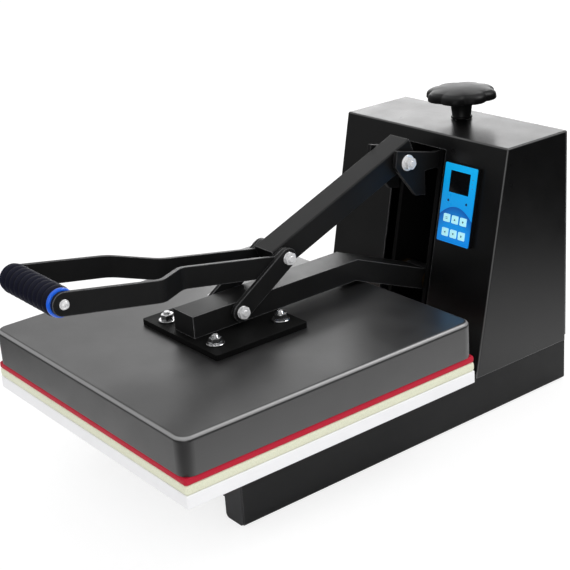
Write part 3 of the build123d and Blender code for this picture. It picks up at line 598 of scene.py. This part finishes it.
def addHexHead(bm, place, flats, height, turn):
    # a bolt head: hexagon with its top corners cut, over a thin washer face
    crown, face, under = flats / 2 * 0.93, flats / 2 * 0.9, 0.4 * mm

    def corner(angle):
        return hexRadius(flats, angle + turn)

    def cutTop(angle):
        return height - (corner(angle) - crown) * 0.55
    profile = [(face, 0.0), (face, under), (corner, under), (corner, cutTop), (crown, height)]
    lathe(bm, profile, place, 72)


# Fasteners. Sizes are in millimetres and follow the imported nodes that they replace.

boltSizes = dict(radius=4.0, flats=13.0, nut=6.5, head=5.3, washer=1.5, pitch=1.25, slack=0.2, proud=1.6,
                 plateWasher=2.0, plateReach=10.0, plateSlack=0.25)
gripScrew = dict(washerRadius=5.2, hole=2.0, washer=1.2, radius=4.6, rim=0.8, dome=3.0, head=3.8,
                 socket=2.1, throat=1.9, bore=1.8, chamfer=0.3, depth=2.2)
panScrew = dict(radius=4.5, height=2.4, recess=2.4, shank=2.0, length=8.0)


def makePlateBolts():
    # studs through the mounting plate, each with a washer and a nut turned its own way
    low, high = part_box("plate_bolts")
    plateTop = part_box("mounting_plate")[1].z
    reach, washer = boltSizes["plateReach"] * mm, boltSizes["plateWasher"] * mm
    radius, nut, flats = lengths(boltSizes, "radius", "nut", "flats")
    bare = low.z - plateTop
    turns = iter((0.2, 0.75, 0.5, 0.05))
    for side, x in (("left", low.x + reach), ("right", high.x - reach)):
        for end, y in (("front", low.y + reach), ("rear", high.y - reach)):
            bm = bmesh.new()
            base = Matrix.Translation((x, y, plateTop))
            addWasher(bm, base, reach, radius + boltSizes["plateSlack"] * mm, washer)
            addNut(bm, Matrix.Translation((x, y, plateTop + washer)), flats, nut, radius, next(turns))
            lathe(bm, [(radius, bare), (radius, washer + nut * 0.5)], base, 32)
            addThread(bm, base, radius, washer + nut * 0.45, high.z - plateTop, boltSizes["pitch"] * mm)
            piece = finishPiece(f"plate_bolt_{end}_{side}", bm, "platen_arm", "zinc")
            if side == "left" and end == "front":
                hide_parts("plate_bolts")


def makeCrossBolt(name, node, body, washerRadius, headHeight=boltSizes["head"], stub=False):
    # washer, nut and thread end on the right; washer and bolt head on the left
    y, z = middleOf(node).yz
    washer, radius, flats = lengths(boltSizes, "washer", "radius", "flats")
    head, nutHeight = headHeight * mm, (headHeight - boltSizes["proud"]) * mm
    hole = radius + boltSizes["slack"] * mm
    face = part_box(node)[1].x - head - washer
    bm = bmesh.new()
    right, left = alongX(face, y, z), alongX(-face, y, z, -1)
    addWasher(bm, right, washerRadius * mm, hole, washer)
    addWasher(bm, left, washerRadius * mm, hole, washer)
    addNut(bm, alongX(face + washer, y, z), flats, nutHeight, radius, 0.3)
    addThread(bm, right, radius, washer + nutHeight * 0.4, washer + head, boltSizes["pitch"] * mm)
    addHexHead(bm, alongX(-face - washer, y, z, -1), flats, head, 0.15)
    if stub:
        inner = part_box("link_right")[0].x + 0.1 * mm
        length = face - inner + washer + nutHeight * 0.5
        for side in (1, -1):
            lathe(bm, [(radius, 0), (radius, length)], alongX(side * inner, y, z, side), 32)
    else:
        length = 2 * face + 1.6 * washer
        lathe(bm, [(radius, 0), (radius, length)], alongX(-face - washer * 0.8, y, z), 32)
    finishPiece(name, bm, body, "zinc", node, look="paleZinc")


def makeGripBolts():
    # button-head screws with a hexagon socket, over small washers
    y, z = middleOf("grip_bolts").yz
    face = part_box("handle_bar_right")[1].x
    size = {part: value * mm for part, value in gripScrew.items()}
    radius, rim, head = size["radius"], size["rim"], size["head"]
    angles = [radians(10 * step) for step in range(1, 7)]
    profile = [(radius, 0), (radius, rim)]
    profile += [(radius * cos(a), rim + size["dome"] * sin(a)) for a in angles]
    profile += [(size["socket"], head), (size["throat"], head - size["chamfer"]),
                (size["bore"], head - size["depth"])]

    def socket(reach, angle, height):
        return reach if reach > size["throat"] else hexRadius(2 * reach * 0.95, angle)
    bm = bmesh.new()
    for side in (1, -1):
        place = alongX(side * face, y, z, side)
        addWasher(bm, place, size["washerRadius"], size["hole"], size["washer"])
        lathe(bm, profile, alongX(side * (face + size["washer"]), y, z, side), 48, socket)
    finishPiece("grip_screws", bm, "handle", "zinc", "grip_bolts", look="paleZinc")


def addPanHead(bm, place):
    # a domed head with a cross recess sunk into its middle
    radius, height, recess = lengths(panScrew, "radius", "height", "recess")

    def domeAt(share):
        reach = radius * sin(share * pi / 2)
        crown = height * max(0.1, (1 - share ** 4) ** 0.5)

        def level(angle):
            across, along = abs(reach * cos(angle)), abs(reach * sin(angle))
            near = min(across if along < recess else 9, along if across < recess else 9)
            sunk = height * 0.75 * max(0.0, min(1.0, (recess * 0.34 - near) / (recess * 0.1)))
            return max(crown - sunk, 0.0)
        return reach, level
    rounds = 14
    profile = [(radius, 0)] + [domeAt(1 - step / rounds * 0.985) for step in range(rounds + 1)]
    lathe(bm, profile, place, 48)


def makePanScrews():
    # cross-recessed screws on the back cover, each turned its own way
    low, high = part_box("housing_screws")
    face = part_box("housing_back_cover")[1].y
    reach, shank, length = lengths(panScrew, "radius", "shank", "length")
    bm = bmesh.new()
    for x in (low.x + reach, high.x - reach):
        for z in (low.z + reach, (low.z + high.z) / 2, high.z - reach):
            place = Matrix.Translation((x, face, z)) @ Matrix.Rotation(radians(-90), 4, "X")
            addPanHead(bm, place @ Matrix.Rotation(0.4 + z * 9, 4, "Z"))
            lathe(bm, [(shank, -length), (shank, 0)], place, 16)
    finishPiece("pan_screws", bm, "base", "zinc", "housing_screws")


makePlateBolts()
makeCrossBolt("link_front_through_bolt", "link_front_bolt", "platen_arm", 7.2)
makeCrossBolt("link_rear_stub_bolts", "link_rear_bolts", "links", 7.2, stub=True)
makeCrossBolt("upper_pivot_through_bolt", "upper_pivot_bolt", "carriage", 9.5, headHeight=8.0)
makeGripBolts()
makePanScrews()
print("fasteners built")


# Handle grip

grip = dict(ribs=10, radius=16.0, root=13.3, bore=6.0, samples=14, skin=0.22, sink=0.05)
gripRing = dict(lip=0.46, dish=0.31, inset=1.8, hub=3.0, hubTop=2.0)


def makeGrip():
    # round crests with tight grooves between, the foam's skin slightly uneven
    low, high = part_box("ribbed_grip")
    y, z = middleOf("ribbed_grip").yz
    length = high.x - low.x
    bore, root, rise = grip["bore"] * mm, grip["root"] * mm, (grip["radius"] - grip["root"]) * mm
    profile = [(bore, 0)]
    for sample in range(grip["ribs"] * grip["samples"]):
        share = sample % grip["samples"] / grip["samples"]
        along = sample / grip["samples"] * length / grip["ribs"]
        profile.append((root + rise * sin(pi * share) ** 0.62, along))
    profile += [(root, length), (bore, length)]

    def softened(radius, angle, height):
        if radius < root * 0.9:
            return radius
        place = Vector((height * 60, cos(angle) * 2.2, sin(angle) * 2.2))
        return radius - grip["skin"] * mm * (noise.noise(place) + 0.5) - grip["sink"] * mm
    bm = bmesh.new()
    lathe(bm, profile, alongX(low.x, y, z), 96, softened, loop=True)
    piece = finishPiece("foam_grip", bm, "handle", "foam_rubber", "ribbed_grip", sharpAngle=70)


def makeGripRings():
    # dished collars with a full round rim: a wide blue one on the right, a thin dark one on the left
    low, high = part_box("grip_rings")
    foamLow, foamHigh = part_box("ribbed_grip")
    y, z = middleOf("grip_rings").yz
    rim, bore = (high.z - low.z) / 2, grip["bore"] * mm
    inset, hub, hubTop = lengths(gripRing, "inset", "hub", "hubTop")
    ends = {
        "grip_ring_right": (1, foamHigh.x, high.x, "blue_plastic"),
        "grip_ring_left": (-1, foamLow.x, low.x, "navy"),
    }
    for name, (side, start, end, look) in ends.items():
        width = abs(end - start)
        lip, dish = width * gripRing["lip"], width * (1 - gripRing["dish"])
        profile = [(bore, 0), (rim - lip, 0)]
        profile += arcPoints(rim - lip, lip, lip, -90, 0, 8)[1:]
        profile += arcPoints(rim - lip, width - lip, lip, 0, 100, 10)
        profile += [(rim - lip - inset, dish), (bore + hub, dish), (bore + hubTop, width), (bore, width)]
        bm = bmesh.new()
        lathe(bm, profile, alongX(start, y, z, side), 96, loop=True)
        piece = finishPiece(name, bm, "handle", "blue_plastic", look=look, sharpAngle=40)
        if side == 1:
            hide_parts("grip_rings")


makeGrip()
makeGripRings()
print("grip built")


# Pressure knob: shallow lobes with rounded valleys between them, a domed top and a hub with a foot flange

knob = dict(lobes=8, lobe=17.5, firstLobe=-16.5, rim=43.0, hub=11.3, hubTop=14.0, flange=12.8, thick=14.0,
            drop=5.0, round=6.0, softness=0.5, underEdge=2.2)


def knobOutline(angle):
    # distance in millimetres to the lobed outline at an angle, valleys rounded off
    step = 2 * pi / knob["lobes"]
    off = (angle - radians(knob["firstLobe"]) + step / 2) % step - step / 2
    centre = knob["rim"] - knob["lobe"]

    def reachAt(turn):
        inside = max(0.0, knob["lobe"] ** 2 - (centre * sin(turn)) ** 2)
        return centre * cos(turn) + sqrt(inside)
    valley, softness = reachAt(step / 2), knob["softness"]

    def rounded(value):
        return softness * log1p(exp((value - valley - softness) / softness))
    return knob["rim"] + rounded(reachAt(off)) - rounded(knob["rim"])


def makeKnob():
    low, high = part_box("pressure_knob")
    height = high.z - low.z
    hub, hubTop, flange, rim = lengths(knob, "hub", "hubTop", "flange", "rim")
    edge, drop, under, thick = lengths(knob, "round", "drop", "underEdge", "thick")
    rimBottom, shoulder = height - thick, height - drop
    profile = [(6.1 * mm, 0), (hub * 0.9, 0), (flange - 0.4 * mm, 0), (flange, 0.4 * mm),
               (flange, 2.1 * mm), (flange - 0.4 * mm, 2.5 * mm), (hub + 0.3 * mm, 2.6 * mm),
               (hub, 3.0 * mm), ((hub + hubTop) / 2, rimBottom * 0.55), (hubTop, rimBottom - 0.8 * mm),
               (hubTop * 1.1, rimBottom), (hubTop * 1.3, rimBottom + 0.4 * mm),
               (rim * 0.75, rimBottom + 0.9 * mm)]
    profile += arcPoints(rim - under, rimBottom + under, under, -90, -10, 5)
    profile += arcPoints(rim - edge - 0.3 * mm, shoulder - edge + 1.2 * mm, edge, 0, 68, 7)
    rounds = 14
    for step in range(1, rounds + 1):
        share = 1 - step / rounds
        profile.append((rim * 0.93 * share + 0.001 * mm, height - drop * 0.72 * share ** 2.0))

    def lobed(radius, angle, level):
        # the hub stays round and the lobes grow towards the rim
        share = max(0.0, min(1.0, (radius / rim - 0.42) / 0.5))
        ratio = knobOutline(angle) / knob["rim"]
        return radius * (1 + (ratio - 1) * share ** 1.3)
    bm = bmesh.new()
    place = Matrix.Translation((0, middleOf("pressure_screw").y, low.z))
    lathe(bm, profile, place, knob["lobes"] * 28, lobed)
    finishPiece("lobed_knob", bm, "knob", "black_plastic", "pressure_knob", look="knobGloss", sharpAngle=50)


looks["knobGloss"] = plasticLook("knobMoulding", (0.003, 0.003, 0.0035), 0.44, 1200.0, 0.04, 0.01)
makeKnob()
print("knob built")


# Platen pads and the blanket: nearly flat above and below, with soft sides that may swell a little

def padMesh(low, high, corner, edge, swell, wobble, seed, cells=70):
    halfX, halfY = (high.x - low.x) / 2, (high.y - low.y) / 2
    middle = Vector(((low.x + high.x) / 2, (low.y + high.y) / 2, 0))
    thick = high.z - low.z

    def stops(half):
        rim = [0, 0.25, 0.55, 0.8, 1.0]
        inner = [half - corner - (2 * half - 2 * corner) * i / cells for i in range(1, cells)]
        out = [half - corner * share for share in rim]
        return out + inner + [-value for value in reversed(out)]

    def rounded(x, y):
        spanX, spanY = halfX - corner, halfY - corner
        u, v = (abs(x) - spanX) / corner, (abs(y) - spanY) / corner
        if u > 0 and v > 0:  # a square corner drawn onto a quarter circle
            u, v = u * sqrt(1 - v * v / 2), v * sqrt(1 - u * u / 2)
            x, y = copysign(spanX + u * corner, x), copysign(spanY + v * corner, y)
        return x * (1 - edge / halfX), y * (1 - edge / halfY)
    xs, ys = stops(halfX), stops(halfY)
    bm = bmesh.new()

    def sheetAt(level, sign):
        grid = []
        for x in xs:
            line = []
            for y in ys:
                px, py = rounded(x, y)
                wave = wobble * noise.noise(Vector((px * 22, py * 22, seed)))
                line.append(bm.verts.new(middle + Vector((px, py, level - sign * abs(wave)))))
            grid.append(line)
        for i in range(len(xs) - 1):
            for j in range(len(ys) - 1):
                bm.faces.new((grid[i][j], grid[i + 1][j], grid[i + 1][j + 1], grid[i][j + 1]))
        last = len(xs) - 1
        return [grid[i][0] for i in range(last)] + [grid[last][j] for j in range(last)] \
            + [grid[i][last] for i in range(last, 0, -1)] + [grid[0][j] for j in range(last, 0, -1)]
    top = sheetAt(high.z, 1)
    bottom = sheetAt(low.z, -1)
    levels, previous = 9, bottom
    for level in range(1, levels):
        share = level / levels
        pull = edge * (1 - min(1.0, sin(pi * share) * 1.6)) ** 2
        bulge = swell * sin(pi * share)
        outX = 1 + (edge - pull + bulge) / halfX
        ring = []
        for lower, upper in zip(bottom, top):
            point = lower.co.lerp(upper.co, share)
            away = Vector((point.x - middle.x, point.y - middle.y, 0))
            wave = wobble * noise.noise(Vector((point.x * 30, point.y * 30, share * 2 + seed)))
            spread = away * (outX * (1 + wave / halfX))
            place = (middle.x + spread.x, middle.y + spread.y, low.z + thick * share)
            ring.append(bm.verts.new(Vector(place)))
        previous = bridge(bm, previous, ring)
    bridge(bm, previous, top)
    return bm


pads = {
    "cream_pad": dict(name="sponge_pad", slot="cream_silicone", corner=2.2, edge=0.9, swell=0.35,
                      wobble=0.25, fill=0.9),
    "red_silicone_pad": dict(name="silicone_pad", slot="red_silicone", corner=3.0, edge=1.1, swell=0.2,
                             wobble=0.12, fill=1.0),
}
blanket = dict(corner=9.0, edge=1.5, wobble=0.5, boss=13.0, reach=1.8, fill=0.5)


def makePads():
    for seed, (node, pad) in enumerate(pads.items()):
        low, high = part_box(node)
        corner, edge, swell, wobble = lengths(pad, "corner", "edge", "swell", "wobble")
        shrink = Vector((swell + wobble, swell + wobble, 0))
        bm = padMesh(low + shrink, high - shrink, corner, edge, swell, wobble, 3.1 + seed)
        piece = finishPiece(pad["name"], bm, "base", pad["slot"], node, sharpAngle=80)


def makeBlanket():
    # ceramic fibre, slightly uneven above and below, with a hole round each of the heating plate's bosses
    low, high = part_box("insulation_blanket")
    corner, edge, wobble, boss = lengths(blanket, "corner", "edge", "wobble", "boss")
    bm = padMesh(low, high, corner, edge, 0.0, wobble, 9.4, 60)
    boltLow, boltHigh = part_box("plate_bolts")
    inset, far = boltSizes["plateReach"] * mm, boss * blanket["reach"]
    for x in (boltLow.x + inset, boltHigh.x - inset):
        for y in (boltLow.y + inset, boltHigh.y - inset):
            for vert in bm.verts:  # the fibres are pushed aside round each boss
                away = Vector((vert.co.x - x, vert.co.y - y))
                if away.length < far:
                    reach = boss + away.length / far * (far - boss)
                    turn = away.normalized() if away.length > 1e-6 else Vector((1, 0))
                    vert.co.x, vert.co.y = x + turn.x * reach, y + turn.y * reach
    piece = finishPiece("fibre_blanket", bm, "platen_arm", "insulation", "insulation_blanket",
                        sharpAngle=80)


makePads()
makeBlanket()
print("pads built")


# Lift springs: wire coils between the arm's tail pin and eyes on the housing floor

spring = dict(wire=1.0, coil=6.0, turns=16, hook=4.6, x=13.0, eye=6.5, lowerEnd=13.0, upperEnd=10.0)


def sweepTube(bm, points, radius):
    # a tube along points, its section carried without twist
    rings, side, sides = [], None, 10
    for index, point in enumerate(points):
        ahead = points[min(index + 1, len(points) - 1)] - points[max(index - 1, 0)]
        ahead.normalize()
        side = ahead.orthogonal() if side is None else side - ahead * side.dot(ahead)
        side.normalize()
        other = ahead.cross(side)
        rings.append([point + (side * cos(a) + other * sin(a)) * radius
                      for a in (2 * pi * step / sides for step in range(sides))])
    ringMesh(bm, rings)


def makeSprings():
    low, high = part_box("lift_springs")
    y = (low.y + high.y) / 2
    wire, coil, hook, eye = lengths(spring, "wire", "coil", "hook", "eye")
    top, bottom = high.z - eye, low.z + eye
    coilLow, coilHigh = low.z + spring["lowerEnd"] * mm, top - spring["upperEnd"] * mm

    def hookPoints(x, level, start, turned, steps):
        angles = [radians(start + turned * step / steps) for step in range(steps + 1)]
        return [Vector((x, y + hook * cos(a), level + hook * sin(a))) for a in angles]
    for sign, name in ((-1, "left"), (1, "right")):
        x = sign * spring["x"] * mm
        # the lower hook goes through the floor eye, as far as the coil
        points = [point for point in hookPoints(x, bottom, -300, 240, 14) if point.z < coilLow - wire]
        count = spring["turns"] * 24
        for step in range(count + 1):
            share = step / count
            angle = 2 * pi * spring["turns"] * share
            reach = coil * min(1.0, share * 40 + 0.05, (1 - share) * 40 + 0.05)
            level = coilLow + (coilHigh - coilLow) * share
            points.append(Vector((x + reach * sin(angle), y + reach * cos(angle), level)))
        points += hookPoints(x, top, -100, 290, 15)  # the upper hook goes round the arm's pin
        bm = bmesh.new()
        sweepTube(bm, points, wire)
        piece = finishPiece(f"lift_spring_{name}", bm, None, "bare_steel", sharpAngle=80)
        if sign < 0:
            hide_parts("lift_springs")
        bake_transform(piece)


makeSprings()
print("springs built")


# Printed marks: plain shapes only, on the keys, the overlay and the rocker

prints = dict(sink=0.02, keyPrint=0.08, overlayPrint=0.06)
rocker = dict(tilt=7.0, pivotY=308.2, pivotZ=154.0, hollow=3.4, rise=1.6, half=11.2, sink=0.05, proud=0.12)


def panelFrame():
    # the slanted front's axes, from two keys one above the other
    rise = middleOf("key_2") - middleOf("key_5")
    across = Vector((1, 0, 0))
    up = Vector((0, rise.y, rise.z)).normalized()
    return across, up, across.cross(up)


def flatMark(name, body, centre, outlines, thickness, slot):
    # raised print: closed outlines of (across, up) points in millimetres
    across, up, out = panelFrame()
    bm = bmesh.new()
    for outline in outlines:
        lower = [centre + across * u * mm + up * v * mm for u, v in outline]
        ringMesh(bm, [lower, [point + out * thickness for point in lower]])
    finishPiece(name, bm, body, slot, look="mark")


def barShape(width, height, u=0.0, v=0.0):
    corners = ((-1, -1), (1, -1), (1, 1), (-1, 1))
    return [(u + sideX * width / 2, v + sideY * height / 2) for sideX, sideY in corners]


def discShape(radius, u=0.0, v=0.0, sides=20):
    return [(u + radius * cos(2 * pi * i / sides), v + radius * sin(2 * pi * i / sides))
            for i in range(sides)]


keyMarks = {
    1: [barShape(3.6, 0.7, v=0.9), barShape(3.6, 0.7, v=-0.9)],
    2: [[(-1.7, -1.1), (1.7, -1.1), (0, 1.7)]],
    3: [discShape(1.3)],
    4: [[(1.1, -1.7), (1.1, 1.7), (-1.7, 0)]],
    5: [[(-1.7, 1.1), (0, -1.7), (1.7, 1.1)]],
    6: [[(-1.1, 1.7), (-1.1, -1.7), (1.7, 0)]],
}


def printPlace(node, over):
    # the middle of a piece, brought out to just under the outer face of the node that is printed on
    out = panelFrame()[2]
    faceOut = max(vert.co.dot(out) for vert in cadNodes[node].data.vertices)
    middle = middleOf(over)
    return middle + out * (faceOut - middle.dot(out) - prints["sink"] * mm)


def makeMarks():
    for number, outlines in keyMarks.items():
        key = f"key_{number}"
        flatMark(f"key_mark_{number}", key, printPlace(key, key), outlines, prints["keyPrint"] * mm,
                 "key_plastic")
    ticks = [barShape(2.6, 0.6, 20.3, 7.0), barShape(1.8, 0.6, 19.9, 2.0), barShape(2.6, 0.6, 20.3, -3.0)]
    flatMark("overlay_ticks", "base", printPlace("controller_label", "lcd_window"), ticks,
             prints["overlayPrint"] * mm, "blue_label")


def makeRockerMarks():
    # a bar and a ring, moulded in white on the rocker's two halves
    pivot = Vector((middleOf("switch_rocker").x, rocker["pivotY"] * mm, rocker["pivotZ"] * mm))
    turn = Matrix.Translation(pivot) @ Matrix.Rotation(-radians(rocker["tilt"]), 4, "X")

    def onFace(points, out):
        # the rocker's face falls from each end towards its middle
        made = []
        for u, v in points:
            depth = rocker["hollow"] + rocker["rise"] * abs(v) / rocker["half"] + out
            made.append(turn @ Vector((u * mm, depth * mm, v * mm)))
        return made
    under, over = -rocker["sink"], rocker["proud"]
    bm = bmesh.new()
    bar = barShape(1.0, 4.2, 0, 6.4)
    ringMesh(bm, [onFace(bar, under), onFace(bar, over)])
    outer, inner = discShape(2.1, 0, -6.4, 32), discShape(1.4, 0, -6.4, 32)
    rings = [onFace(inner, under), onFace(outer, under), onFace(outer, over), onFace(inner, over)]
    ringMesh(bm, rings, loop=True)
    finishPiece("rocker_marks", bm, "rocker", "black_plastic", look="whiteMark")


makeMarks()
makeRockerMarks()
print("marks built")


# Floor, camera and light

def emptyTree(owner):
    owner.use_nodes = True
    owner.node_tree.nodes.clear()
    return owner.node_tree


paper = dict(size=6.0, glow=0.77, seen=0.30, bounce=0.85, halfX=0.14, halfY=0.25)


def addFloor():
    # backdrop paper that the camera sees as near white
    bm = bmesh.new()
    bmesh.ops.create_grid(bm, x_segments=1, y_segments=1, size=paper["size"])
    mesh = bpy.data.meshes.new("studioFloor")
    bm.to_mesh(mesh)
    bm.free()
    floor = addObject("studio_floor", mesh)
    material = bpy.data.materials.new("floorPaper")
    tree = emptyTree(material)
    rays = put(tree, "LightPath").outputs
    # reflections see pale paper near the press that falls to dark further out
    axes = axesOf(tree, placeOn(tree))
    x, y = axes[0], axes[1]
    beyond = {}
    for index, half in ((0, paper["halfX"]), (1, paper["halfY"])):
        past = less(tree, sums(tree, "ABSOLUTE", axes[index]), half)
        beyond[index] = sums(tree, "MAXIMUM", past, 0.0)
    away = put(tree, "CombineXYZ", beyond).outputs[0]
    away = put(tree, "VectorMath", {0: away}, operation="LENGTH").outputs["Value"]
    near = span(tree, away, 0.15, 0.60, 1.0, 0.01)
    near = sums(tree, "MAXIMUM", near, span(tree, x, -0.5, -1.2, 0.0, 0.22))
    # the front edge's and the near corner's reflections are darker than the right side's
    front = span(tree, y, -0.50, -0.32, 0.5, 1.0)
    corner = span(tree, less(tree, x, y), 0.58, 0.80, 1.0, 0.15)
    near = times(tree, near, times(tree, front, corner))
    tone = put(tree, "Mix", {0: rays["Is Glossy Ray"], 2: paper["bounce"], 3: near}).outputs[0]
    tone = put(tree, "Mix", {0: rays["Is Camera Ray"], 2: tone, 3: paper["seen"]}).outputs[0]
    sheet = put(tree, "BsdfDiffuse", {"Color": tone}).outputs[0]
    seen = sums(tree, "MAXIMUM", rays["Is Camera Ray"], rays["Is Transmission Ray"])
    strength = times(tree, seen, paper["glow"])
    glow = put(tree, "Emission", {"Color": (1, 1, 1, 1), "Strength": strength}).outputs[0]
    both = put(tree, "AddShader", {0: sheet, 1: glow}).outputs[0]
    put(tree, "OutputMaterial", {"Surface": both})
    mesh.materials.append(material)


cameraView = dict(
    place=(1.1317, -0.8404, 0.7342), right=(0.6147, 0.7858, -0.0687), up=(-0.2491, 0.2760, 0.9283),
    lens=84.6, sensor=36.0, farthest=50.0,
)


def addCamera():
    data = bpy.data.cameras.new("photoCamera")
    data.lens = cameraView["lens"]
    data.sensor_width = cameraView["sensor"]
    data.clip_end = cameraView["farthest"]
    camera = addObject("photo_camera", data)
    right = Vector(cameraView["right"]).normalized()
    back = right.cross(Vector(cameraView["up"])).normalized()
    matrix = Matrix((right, back.cross(right), back)).transposed().to_4x4()
    matrix.translation = Vector(cameraView["place"])
    camera.matrix_world = matrix
    bpy.context.scene.camera = camera


pressMiddle = Vector((0, 0, 0.15))
softboxes = {
    "rear_panel": dict(place=(-1.62, 1.78, 0.68), size=(1.4, 0.80), power=12.0),
    "left_panel": dict(place=(-2.10, 0.92, 1.50), size=(1.35, 1.2), power=4.0),
    "front_fill": dict(place=(1.7, -1.55, 0.75), size=(1.2, 1.2), power=4.5),
    "rear_overhead": dict(place=(0.75, 1.25, 1.7), size=(0.8, 0.8), power=8.0),
}


def addSoftboxes():
    for name, box in softboxes.items():
        data = bpy.data.lights.new(name, "AREA")
        data.shape = "RECTANGLE"
        data.size, data.size_y = box["size"]
        data.energy = box["power"]
        lamp = addObject(name, data)
        lamp.location = box["place"]
        aim = pressMiddle - Vector(box["place"])
        lamp.rotation_euler = aim.to_track_quat("-Z", "Y").to_euler()
        lamp.visible_camera = False


def addWorld():
    world = bpy.data.worlds.new("studio")
    bpy.context.scene.world = world
    tree = emptyTree(world)
    rays = put(tree, "LightPath").outputs
    x, y, z = axesOf(tree, placeOn(tree, "Generated"))
    # reflections see a studio that is lightest to the left and behind, and dark to the front and the right
    leftward = span(tree, x, 0.2, -0.8)
    behind = span(tree, y, -0.3, 0.6, 0.24, 0.26)
    above = span(tree, z, 0.45, 0.95, 0.03, 0.5)
    tone = plus(tree, times(tree, leftward, behind), above)
    seen = put(tree, "Mix", {0: rays["Is Camera Ray"], 2: tone, 3: 1.0}).outputs[0]
    level = put(tree, "Mix", {0: rays["Is Diffuse Ray"], 2: seen, 3: 0.95}).outputs[0]
    back = put(tree, "Background", {"Color": (1, 1, 1, 1), "Strength": level}).outputs[0]
    put(tree, "OutputWorld", {"Surface": back})


addFloor()
addCamera()
addSoftboxes()
addWorld()
bpy.context.scene.view_settings.view_transform = "Standard"
print("studio set")
